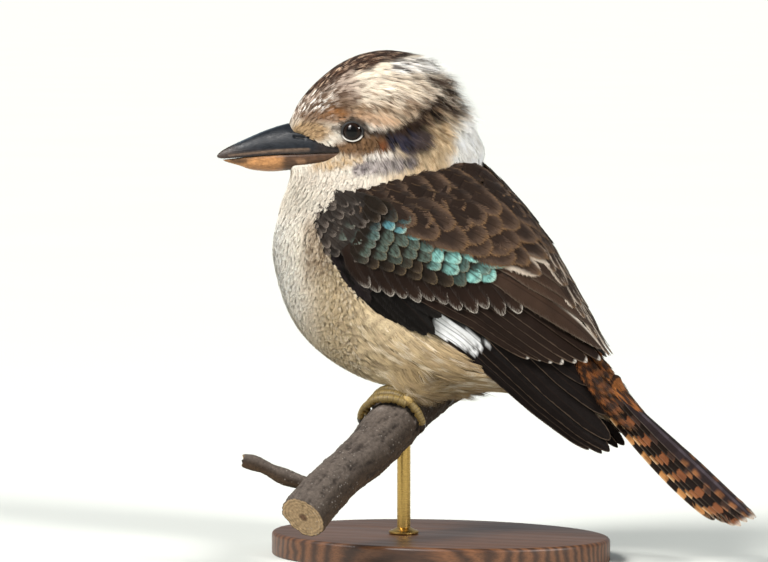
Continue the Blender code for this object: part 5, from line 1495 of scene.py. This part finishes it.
def make_bill(finish):
    """Both halves of the bill, with a nostril slit and its colours by place."""
    upper = bill_shell(UPPER_BILL, MOUTH_GAP, UPPER_POWER)
    x, y, z = np.moveaxis(upper, -1, 0)
    slit = near_line(x, z, ((-88.5, 252), (-82.5, 251.2)), (0.45, 0.5), 1)
    brow = near_line(x, z, ((-92, 254.4), (-82, 253.2)), (0.8, 0.9), 1.8)
    side = eased(np.abs(y), 3, 6)
    # ridge marks a paler line along the top of the upper bill: a painted highlight on the culmen.
    ridge = eased(np.abs(y - np.sign(y) * (slit - 0.25 * brow) * side), 3.2, 1) * eased(z, 244, 250)
    upper = upper + packed(0, -np.sign(y), 0) * ((slit - 0.25 * brow) * side)[..., None]
    # Inside the nostril slit the colour is near-black: painted shade.
    colours = lay(linear("#11151b"), "#56616c", ridge * 0.5, "#2b2422", eased(z - 241, 5, 1) * 0.75, "#7a6350",
                  near_line(x, z, ((-128, 240.6), (-100, 243.6), (-80, 244.6)), (0.4, 0.7, 0.7), 1.2) * 0.6,
                  "#3d3129", eased(x, -120, -132) * 0.7, "#0c0b0c", slit * side,
                  "#2a211c", eased(x, -80, -70) * 0.7)
    piece = bill_half("bill_upper_horn", upper, colours, finish)
    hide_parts("bill_upper")

    lower = bill_shell(LOWER_BILL, -MOUTH_GAP, LOWER_POWER)
    x, z = lower[..., 0], lower[..., 2]
    mouth = near_line(x, z, ((-118, 239.6), (-96, 241), (-62, 242.4)), (0.1, 0.3, 0.5), 1)
    colours = lay(linear("#a8784c"), "#3a2a1e", near_spot(x, z, (-122, 237.6), (6, 1.8)) * 0.85,
                  "#8a6040", eased(z, 236, 232.5) * 0.5, "#3a2a22", eased(x, -100, -92) * 0.9,
                  "#8e6a4e", near_spot(x, z, (-84.5, 237.5), (3, 1.6)) * 0.7, "#31221b", mouth * 0.8)
    piece = bill_half("bill_lower_horn", lower, colours, finish)
    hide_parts("bill_lower")


def eye_material():
    """Glass-clear cornea over a dark brown iris with fine radial fibres and a black pupil."""
    return grained_material("eye_cornea", {"Roughness": 0.06, "IOR": 1.38, "Specular IOR Level": 0.32},
                            {"Scale": 1500, "Detail": 2}, shade=(0.3, 0.7, 0.6, 1.4))


def make_eyes(cornea, rim_finish):
    """Eyeballs as spheres about their gaze, and lids as rings with fine folds, paler below."""
    for side, (centre, outwards) in EYES.items():
        across = unit(np.cross(outwards, (0, 0, 1)))
        up = np.cross(across, outwards)
        polar, turn = np.linspace(0.02, np.pi - 0.02, 60)[:, None, None], turned(72)[None, :, None]
        spokes = np.cos(turn) * across + np.sin(turn) * up
        points, faces = closed_tube(centre + EYE_RADIUS * (np.cos(polar) * outwards + np.sin(polar) * spokes))
        far = np.linalg.norm(points - centre - outwards * EYE_RADIUS, axis=1)
        tints = lay(linear("#0f0805"), "#1d110a", eased(far, 3.4, 4.4) * eased(far, 5.6, 5),
                    "#040303", eased(far, 3.3, 3))
        ball = make_piece("eyeball_" + side, turn_head(points), faces, cornea, tint=tints)
        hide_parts("eye_" + side)

        turns, around = LID_GRID
        t, s = turned(turns)[:, None], turned(around)
        spoke = np.cos(t)[..., None] * across * 1.08 + np.sin(t)[..., None] * up * 0.92
        fold = 1 + 0.08 * np.sin(3 * s) + 0.03 * np.sin(t * 40)
        reach = LID_RADIUS - 0.2 + LID_THICK * np.cos(s) * fold
        middle = centre + outwards * (EYE_SINK - 0.1)
        lid = middle + spoke * reach[..., None] + outwards * (LID_THICK * 0.9 * np.sin(s) * fold)[..., None]
        points = lid.reshape(-1, 3)
        spot = np.arange(turns * around).reshape(turns, around)
        faces = packed(spot, np.roll(spot, -1, 0), np.roll(spot, (-1, -1), (0, 1)),
                       np.roll(spot, -1, 1)).reshape(-1, 4)
        below = eased(np.sin(t), -0.25, -0.7) * eased(np.cos(s), -0.5, 0.4) * eased(np.sin(s), 0, 0.5)
        tints = lay(linear("#130d0a"), "#ddd6ce", below * 0.95).reshape(-1, 3)
        ring = make_piece("lids_" + side, turn_head(points), face_outward(points, [faces]), rim_finish,
                          tint=tints)
        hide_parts("head")


def skin_fold_material():
    """Bare lid skin: soft, slightly oily, with fine pores."""
    return grained_material("bare_lid_skin", {"Roughness": 0.5}, {"Scale": 2500, "Detail": 2}, relief=(0.4, 0.0001))


# Branch, feet and stand.

def branch_at(t):
    """Centre and radius of the branch at fractional points t."""
    row = smooth_table(BRANCH, t)
    return row[..., :3], row[..., 3]


def branch_frame(y):
    """Centre, radius, direction, top and forward directions of the branch where it crosses y."""
    t = np.linspace(0, len(BRANCH) - 1, 400)
    centres, radii = branch_at(t)
    k = int(np.argmin(np.abs(centres[:, 1] - y)))
    along = unit(centres[min(k + 8, 399)] - centres[max(k - 8, 0)])
    top = unit(np.array([0, 0, 1]) - along[2] * along)
    return centres[k], radii[k], along, top, -np.cross(along, top)


def tube_rings(centres, radii, around, up, squash=1):
    """Rings round a centre line: radius times cosine to the side and sine up, squashed upwards."""
    along = unit(np.gradient(centres, axis=0))
    up = np.broadcast_to(np.asarray(up, float), centres.shape)
    side = unit(np.cross(along, up))
    top = np.cross(side, along)
    angle = turned(around, 0.5)[None, :, None]
    spokes = np.cos(angle) * side[:, None] + squash * np.sin(angle) * top[:, None]
    radii = np.broadcast_to(radii, (len(centres),))[:, None, None]
    return centres[:, None] + radii * spokes, unit(spokes)


def bark_material():
    """Dry bark: rough cork plates, greyer on top, near-black in the cracks as painted shade, with pale flecks."""
    made, add, shader = new_material("weathered_bark")
    coords = add("TexCoord").outputs["Object"]
    tint = add("Attribute", attribute_name="tint")
    grit = add("TexNoise", {"Vector": coords, "Scale": 520, "Detail": 6, "Roughness": 0.7})
    fleck = add("TexVoronoi", {"Vector": coords, "Scale": 420})
    pale = add("MapRange", {0: fleck, 1: 0.1, 2: 0.26, 3: 1, 4: 0})
    patchy = add("TexNoise", {"Vector": coords, "Scale": 70, "Detail": 3})
    where = add("MapRange", {0: patchy, 1: 0.45, 2: 0.62})
    flecks = add("Math", {0: pale, 1: where}, operation="MULTIPLY")
    some = add("Math", {0: flecks, 1: 0.55}, operation="MULTIPLY")
    shade = add("MapRange", {0: grit, 1: 0.25, 2: 0.75, 3: 0.55, 4: 1.5})
    colour = add("VectorMath", {0: tint, "Scale": shade}, operation="SCALE")
    dotted = add("Mix", {0: some, 6: colour, 7: rgba("#9a928a")}, data_type="RGBA")
    bump = add("Bump", {"Height": grit, "Strength": 0.9, "Distance": 0.0011})
    connect(shader, {"Base Color": dotted.outputs[2], "Roughness": 0.9, "Normal": bump,
                     "Specular IOR Level": 0.25})
    return made


def bark_tube(centres, radii, around, seed, relief, ends):
    """A bark-covered length: rings pushed out by ridges along the wood, plates and knobs of noise.

    ends gives the roughness of the first and last cuts. Returns rings and colours.
    """
    rings, spokes = tube_rings(centres, radii, around, (0, 0, 1))
    turn = turned(around, 0.5)
    size = np.broadcast_to(radii, (len(centres),))[:, None]
    unrolled = packed(run_along(centres)[:, None] * 0.28, np.cos(turn) * size, np.sin(turn) * size)
    ridges = cloud(unrolled, 3, seed) * 0.5 + cloud(unrolled, 1.4, seed + 1) * 0.3
    knobs = np.maximum(cloud(rings, 7, seed + 2), 0.1) * 1.1
    grit = cloud(rings, 1.7, seed + 3) * 0.3 + cloud(rings, 0.9, seed + 5) * 0.16
    height = (ridges + knobs + grit - 0.35) * relief
    rings = rings + spokes * height[..., None]
    along = unit(np.gradient(centres, axis=0))
    for end, grain, rough in ((0, 3, ends[0]), (-1, 2, ends[1])):
        rings[end] += along[end] * (cloud(rings[end], grain, seed + 4)[:, None] * rough)
    # Greyer on top and browner underneath; near-black where the surface sinks into cracks, a painted shade; paler
    # on the highest plates.
    overhead = spokes[..., 2]
    return rings, lay(linear("#33281f"), "#5c534c", eased(overhead, -0.1, 0.8) * 0.8,
                      "#4c3826", eased(overhead, 0.1, -0.7) * 0.7, "#1d1612", eased(height, 0, -0.9) * 0.85,
                      "#857b74", eased(height, 0.5, 1.3) * 0.5)


def capped_bark(rings, colours, wood, pith):
    """Closes a bark tube with cut ends in wood and pith: rings that shrink to a slightly uneven middle."""
    share = np.linspace(1, 0.03, 14)[1:, None, None]
    ends = []
    for ring, other in ((rings[0], rings[1]), (rings[-1], rings[-2])):
        centre = ring.mean(axis=0)
        disc = centre + (ring - centre) * share
        disc = disc + unit(centre - other.mean(axis=0)) * (cloud(disc, 1.2, 77)[..., None] * 0.35)
        circle = 0.5 + 0.5 * np.sin(share[..., 0] * 46 + 0.3 * cloud(disc, 5, 5))
        ends.append((disc, lay(linear(wood), linear(wood) * 0.6, circle, pith, eased(share[..., 0], 0.25, 0.1))))
    every, tones = (np.concatenate([first[::-1], middle, last])
                    for first, middle, last in zip(ends[0], (rings, colours), ends[1]))
    return *closed_tube(every), cap_tints(tones)


def make_perch(finish):
    """The cut branch with its bark, and a broken twig stub, as one piece of two closed bodies."""
    centres, radii = branch_at(np.linspace(0, len(BRANCH) - 1, 300))
    bough = capped_bark(*bark_tube(centres, radii - 0.4, 150, 51, 1, (0.6, 0.6)), "#a58a68", "#5b4331")
    share = np.linspace(-0.12, 1, 130)
    line = np.array(TWIG_ROOT) * (1 - share[:, None]) + np.array(TWIG_TIP) * share[:, None]
    line[:, 2] += 2 * np.sin(np.pi * np.clip(share, 0, 1)) + 0.8 * np.sin(share * 9)
    thick = np.interp(share, (-0.12, 0.1, 0.3, 1), (8.5, 5.6, 4.9, 4)) + 0.5 * np.sin(share * 16)
    twig = capped_bark(*bark_tube(line, thick, 64, 61, 0.5, (0.2, 2.2)), "#8d755a", "#4b382b")
    points, faces = joined([bough[:2], twig[:2]])
    piece = make_piece("perch_bark", points, faces, finish, tint=np.concatenate([bough[2], twig[2]]))
    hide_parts("perch")


def foot_material():
    """Scaled foot skin: horny plates with a dull wax shine, darker in the creases between them as painted shade."""
    return grained_material("scaled_foot_skin", {"Roughness": 0.55, "IOR": 1.5}, {"Scale": 1100},
                            shade=(0, 0.6, 1.12, 0.72), relief=(0.5, -0.0002), texture="TexVoronoi")


def claw_material():
    """Claw horn: dense black keratin, smooth and a little glossy, greyer where it wears."""
    return grained_material("claw_keratin", {"Roughness": 0.32, "IOR": 1.54}, {"Scale": 700, "Detail": 4},
                            hues=("#15110f", "#3a332e"))


TOES = (
    ("1", FRONT_TOE_END + 0.12, (-2.6, -8.5)),
    ("2", FRONT_TOE_END, (0, 0.5)),
    ("3", FRONT_TOE_END + 0.2, (2.6, 8.5)),
    ("4", HIND_TOE_END, (0, -1.5)),
)


def toe_path(bough, start, end, splay, radius, count):
    """Centres of a toe that wraps the branch from one angle to another, sliding along it by splay."""
    centre, branch_radius, along, top, forward = bough
    share = np.linspace(0, 1, count)
    angle = start + (end - start) * share
    spokes = np.cos(angle)[:, None] * forward + np.sin(angle)[:, None] * top
    knuckle = 0.5 * np.abs(np.sin(share * 3 * np.pi)) * (share > 0.05)
    out = branch_radius + radius + TOE_GAP + knuckle
    slide = splay[0] + (splay[1] - splay[0]) * share**0.7
    return centre + spokes * out[:, None] + along * slide[:, None], spokes


def scaled_tube(centres, radii, up, scute, around=28):
    """A toe or shank: a tube with broad plates over its top, stepped along it, and soft pads below."""
    rings, spokes = tube_rings(centres, radii, around, up, 0.95)
    run = run_along(centres)[:, None]
    over = np.einsum("ijk,ik->ij", spokes, np.broadcast_to(unit(up), centres.shape))
    step = np.mod(run / scute, 1)
    plate = (0.26 * np.sqrt(np.clip(4 * step * (1 - step), 0, 1)) - 0.2) * eased(over, -0.2, 0.3)
    pads = 0.35 * np.cos(run / (scute * 2.4) * TURN) * eased(over, -0.2, -0.8)
    # Darker in the creases between the plates: painted shade.
    crease_shade = eased(np.minimum(step, 1 - step), 0.16, 0.02) * eased(over, -0.2, 0.3)
    return rings + spokes * (plate + pads)[..., None], lay(
        linear("#705b2b"), "#8b7541", eased(over, 0.3, 0.9) * 0.6, "#4a3516", crease_shade * 0.85,
        "#7c5f25", eased(over, 0, -0.7) * 0.7)


def make_feet(skin, horn):
    """Each foot is four scaled toes, a shank and a ball under them, and its claws are separate."""
    for side in ("left", "right"):
        bough = branch_frame(FOOT_Y[side])
        centre, branch_radius, along, _, forward = bough
        tubes = []
        share = np.linspace(0, 1, 90)
        for number, end, splay in TOES:
            path, spokes = toe_path(bough, FOOT_ANGLE, end, splay, TOE_RADIUS, len(share))
            radii = TOE_RADIUS * np.interp(share, (0, 0.4, 0.93, 1), (1, 0.95, 0.78, 0.6))
            tubes.append(scaled_tube(path, radii * (1 + 0.05 * np.cos(share * 3 * TURN)), spokes, 1.5))
            claw_piece(f"claw_horn_{side}_{number}", f"claw_{side}_{number}", bough, end,
                       math.copysign(1, end - FOOT_ANGLE), splay[1], path, horn)
        foot = toe_path(bough, FOOT_ANGLE, FOOT_ANGLE, (0, 0), TOE_RADIUS, 2)[0][0]
        steps = np.linspace(-0.04, 1, 60)[:, None]
        shank = foot * (1 - steps) + np.array(LEG_TOP[side]) * steps
        tubes.append(scaled_tube(shank, np.interp(steps[:, 0], (0, 0.2, 1), (4.2, 3.6, 3.6)), forward, 2.6))
        spoke = unit(foot - centre)
        pad = centre + spoke * (branch_radius + PAD_RADIUS + TOE_GAP)
        polar, turn = np.linspace(0.05, np.pi - 0.05, 30)[:, None, None], turned(40)[None, :, None]
        round_pad = np.cos(turn) * along + np.sin(turn) * np.cross(spoke, along)
        ball = pad + PAD_RADIUS * (np.cos(polar) * spoke + np.sin(polar) * round_pad)
        tubes.append((ball, np.broadcast_to(linear("#a98c4e"), ball.shape)))
        points, faces = joined([closed_tube(rings) for rings, _ in tubes])
        piece = make_piece("foot_" + side, points, faces, skin,
                           tint=np.concatenate([cap_tints(colours) for _, colours in tubes]))
        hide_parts("leg_" + side)


def claw_piece(name, node, bough, start, turn, slide, path, finish):
    """A claw: a tapered tube that curves round past the toe's end, a little closer in towards its point."""
    centre, branch_radius, along, top, forward = bough
    out = branch_radius + TOE_RADIUS + TOE_GAP
    share = np.linspace(0, 1, 40)
    angle = start + turn * (CLAW_LENGTH / out * share)
    spokes = np.cos(angle)[:, None] * forward + np.sin(angle)[:, None] * top
    centres = centre + spokes * (out - 1.9 * share**1.4)[:, None] + along * slide
    last = unit(path[-1] - path[-2])
    centres = centres - centres[0] + path[-1] - last * 0.8
    radii = np.interp(share, (0, 0.25, 0.6, 0.9, 1), (1.9, 1.7, 1.15, 0.5, 0.2))
    rings, _ = tube_rings(centres, radii, 20, spokes, 1.15)
    points, faces = closed_tube(rings)
    piece = make_piece(name, points, faces, finish)
    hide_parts(node)


def wood_material():
    """Dark-stained hardwood board: sawn along the grain, oiled, with rings showing as long streaks."""
    made, add, shader = new_material("stained_hardwood")
    coords = add("TexCoord").outputs["Object"]
    drawn = add("Mapping", {"Vector": coords, "Scale": (6, 60, 60)})
    warp = add("TexNoise", {"Vector": drawn, "Scale": 1.4, "Detail": 4})
    rings = add("TexWave", {"Vector": drawn, "Scale": 1.2, "Distortion": 6, "Detail": 3}, bands_direction="Y")
    pores = add("Mapping", {"Vector": coords, "Scale": (120, 1800, 1800)})
    pore = add("TexNoise", {"Vector": pores, "Scale": 1, "Detail": 2})
    mixed = add("Mix", {0: rings.outputs["Fac"], 6: rgba("#3b2416"), 7: rgba("#6b452b")}, data_type="RGBA")
    dark = add("MapRange", {0: pore, 1: 0.35, 2: 0.6, 3: 0.7, 4: 1.05})
    colour = add("VectorMath", {0: mixed.outputs[2], "Scale": dark}, operation="SCALE")
    rough = add("MapRange", {0: warp, 1: 0.3, 2: 0.7, 3: 0.34, 4: 0.5})
    bump = add("Bump", {"Height": pore, "Strength": 0.2, "Distance": 0.0002})
    connect(shader, {"Base Color": colour, "Roughness": rough, "Normal": bump})
    return made


def brass_material():
    """Brushed brass: warm metal with fine lines turned round the rod."""
    made, add, shader = new_material("brushed_brass")
    coords = add("TexCoord").outputs["Object"]
    lines = add("Mapping", {"Vector": coords, "Scale": (60, 60, 3000)})
    brush = add("TexNoise", {"Vector": lines, "Scale": 1, "Detail": 3})
    rough = add("MapRange", {0: brush, 1: 0.3, 2: 0.7, 3: 0.22, 4: 0.42})
    colour = add("Mix", {0: brush, 6: rgba("#a8874a"), 7: rgba("#c9a864")}, data_type="RGBA")
    bump = add("Bump", {"Height": brush, "Strength": 0.15, "Distance": 0.0001})
    connect(shader, {"Base Color": colour.outputs[2], "Metallic": 1, "Roughness": rough, "Normal": bump})
    return made


def make_stand(wood, metal):
    """The oval base, turned from a profile of insets and heights, and the rod with its collar."""
    angle = turned(256)
    ease = np.linspace(0, np.pi / 2, 12)
    inset = np.concatenate([[60, 30, 1, 0.3, 0], BASE_EDGE * (1 - np.cos(ease)), [30, 60]])
    z = np.concatenate([[0, 0, 0, 0.3, 1], BASE_THICK - BASE_EDGE + BASE_EDGE * np.sin(ease),
                        [BASE_THICK, BASE_THICK]])
    inset, z = inset[:, None], z[:, None]
    x, y = (BASE_RADII[0] - inset) * np.cos(angle), (BASE_RADII[1] - inset) * np.sin(angle)
    points, faces = closed_tube(packed(x, y, z))
    base = make_piece("stand_board", points, faces, wood)
    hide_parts("stand_base")

    centre, radius = branch_frame(ROD_Y)[:2]
    rod_top = centre[2] - radius + ROD_DEPTH
    r = np.array([ROD_RADIUS, ROD_RADIUS, COLLAR_RADIUS - 0.4, COLLAR_RADIUS, COLLAR_RADIUS, COLLAR_RADIUS - 0.5,
                  ROD_RADIUS + 2.2, ROD_RADIUS + 0.9, ROD_RADIUS, ROD_RADIUS])
    height = np.array([6.3, BASE_THICK + 0.3, BASE_THICK + 0.3, BASE_THICK + 0.7, BASE_THICK + 1.5, BASE_THICK + 2,
                       BASE_THICK + 2.8, BASE_THICK + 3.6, BASE_THICK + COLLAR_HEIGHT, rod_top])
    turn = turned(72)
    x, y = centre[0] + r[:, None] * np.cos(turn), ROD_Y + r[:, None] * np.sin(turn)
    points, faces = closed_tube(packed(x, y, height[:, None]))
    rod = make_piece("stand_post", points, faces, metal)
    rod.data.set_sharp_from_angle(angle=math.radians(35))
    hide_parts("stand_rod")


# Camera, floor and light.

def view_direction():
    """From the bird towards the camera."""
    c = math.cos(CAMERA_ELEVATION)
    return Vector((math.sin(CAMERA_AZIMUTH) * c, -math.cos(CAMERA_AZIMUTH) * c, math.sin(CAMERA_ELEVATION)))


def make_camera():
    """A long lens at the picture's angle, so that one pixel is 0.6 mm at the bird."""
    data = bpy.data.cameras.new("camera")
    data.sensor_width = SENSOR
    data.lens = SENSOR * CAMERA_DISTANCE / (PICTURE_WIDTH * MM_PER_PIXEL)
    data.clip_end = 200
    camera = bpy.data.objects.new("camera", data)
    bpy.context.scene.collection.objects.link(camera)
    camera.location = (Vector(CAMERA_TARGET) + view_direction() * CAMERA_DISTANCE) * MM
    camera.rotation_euler = view_direction().to_track_quat("Z", "Y").to_euler()
    bpy.context.scene.camera = camera


def make_floor():
    """A plain pale floor, wide enough to fill the picture."""
    points = np.array([(-1, -1), (1, -1), (1, 1), (-1, 1)]) * FLOOR_REACH
    points = packed(*points.T, -0.05)
    made, add, shader = new_material("pale_studio_floor")
    coords = add("TexCoord").outputs["Object"]
    mottle = add("TexNoise", {"Vector": coords, "Scale": 3, "Detail": 2})
    colour = add("Mix", {0: mottle, 6: rgba("#d2d5cf"), 7: rgba("#d6d8d3")}, data_type="RGBA")
    connect(shader, {"Base Color": colour.outputs[2], "Roughness": 0.9, "Specular IOR Level": 0.1})
    mesh = bpy.data.meshes.new("floor")
    mesh.from_pydata((points * MM).tolist(), [], [(0, 1, 2, 3)])
    mesh.materials.append(made)
    floor = bpy.data.objects.new("floor", mesh)
    bpy.context.scene.collection.objects.link(floor)


def make_light():
    """A broad sun-like key from the upper front, a weaker one from behind, a soft box and a pale surround."""
    scene = bpy.context.scene
    for name, energy, spread, towards in (("key", 3.4, 20, (-0.62, -0.72, 0.92)),
                                          ("rim", 2.5, 14, (0.9, -0.42, 0.62))):
        light = bpy.data.lights.new(name, "SUN")
        light.energy = energy
        light.angle = math.radians(spread)
        light.color = (1, 0.975, 0.94)
        lamp = bpy.data.objects.new(name, light)
        lamp.rotation_euler = Vector(towards).to_track_quat("Z", "Y").to_euler()
        scene.collection.objects.link(lamp)
    box = bpy.data.lights.new("soft_box", "AREA")
    box.energy = 6
    box.size = 0.6
    lamp = bpy.data.objects.new("soft_box", box)
    lamp.location = (-0.75, -1, 1)
    lamp.rotation_euler = (lamp.location - Vector(CAMERA_TARGET) * MM).to_track_quat("Z", "Y").to_euler()
    scene.collection.objects.link(lamp)
    world = bpy.data.worlds.new("surround")
    world.use_nodes = True
    background = world.node_tree.nodes["Background"]
    background.inputs["Color"].default_value = (0.86, 0.92, 0.96, 1)
    background.inputs["Strength"].default_value = 0.46
    scene.world = world
    scene.view_settings.view_transform = "Standard"
    scene.view_settings.look = "None"


def main():
    """Everything in the picture, each piece with the CAD nodes that it replaces."""
    make_camera()
    make_floor()
    make_light()
    down = down_material()
    vane = vane_material("wing_vane_keratin", 0.5, 0.06, 0.5)
    barred = vane_material("barred_tail_vane", 0.5, 0.08, 0.5, bars=(14.5, 0.56, "#150c07"))
    skin = make_skin(skin_material("downy_underlayer"))
    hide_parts("head", "neck", "torso")
    for piece in make_coat(down):
        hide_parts("head", "neck", "torso")
    make_wings(vane, skin_material("wing_lining_down"), down)
    for piece in make_mantle(vane, down):
        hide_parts("torso")
    make_tail(barred, vane, down)
    make_bill(bill_material())
    make_eyes(eye_material(), skin_fold_material())
    make_perch(bark_material())
    make_feet(foot_material(), claw_material())
    make_stand(wood_material(), brass_material())


main()
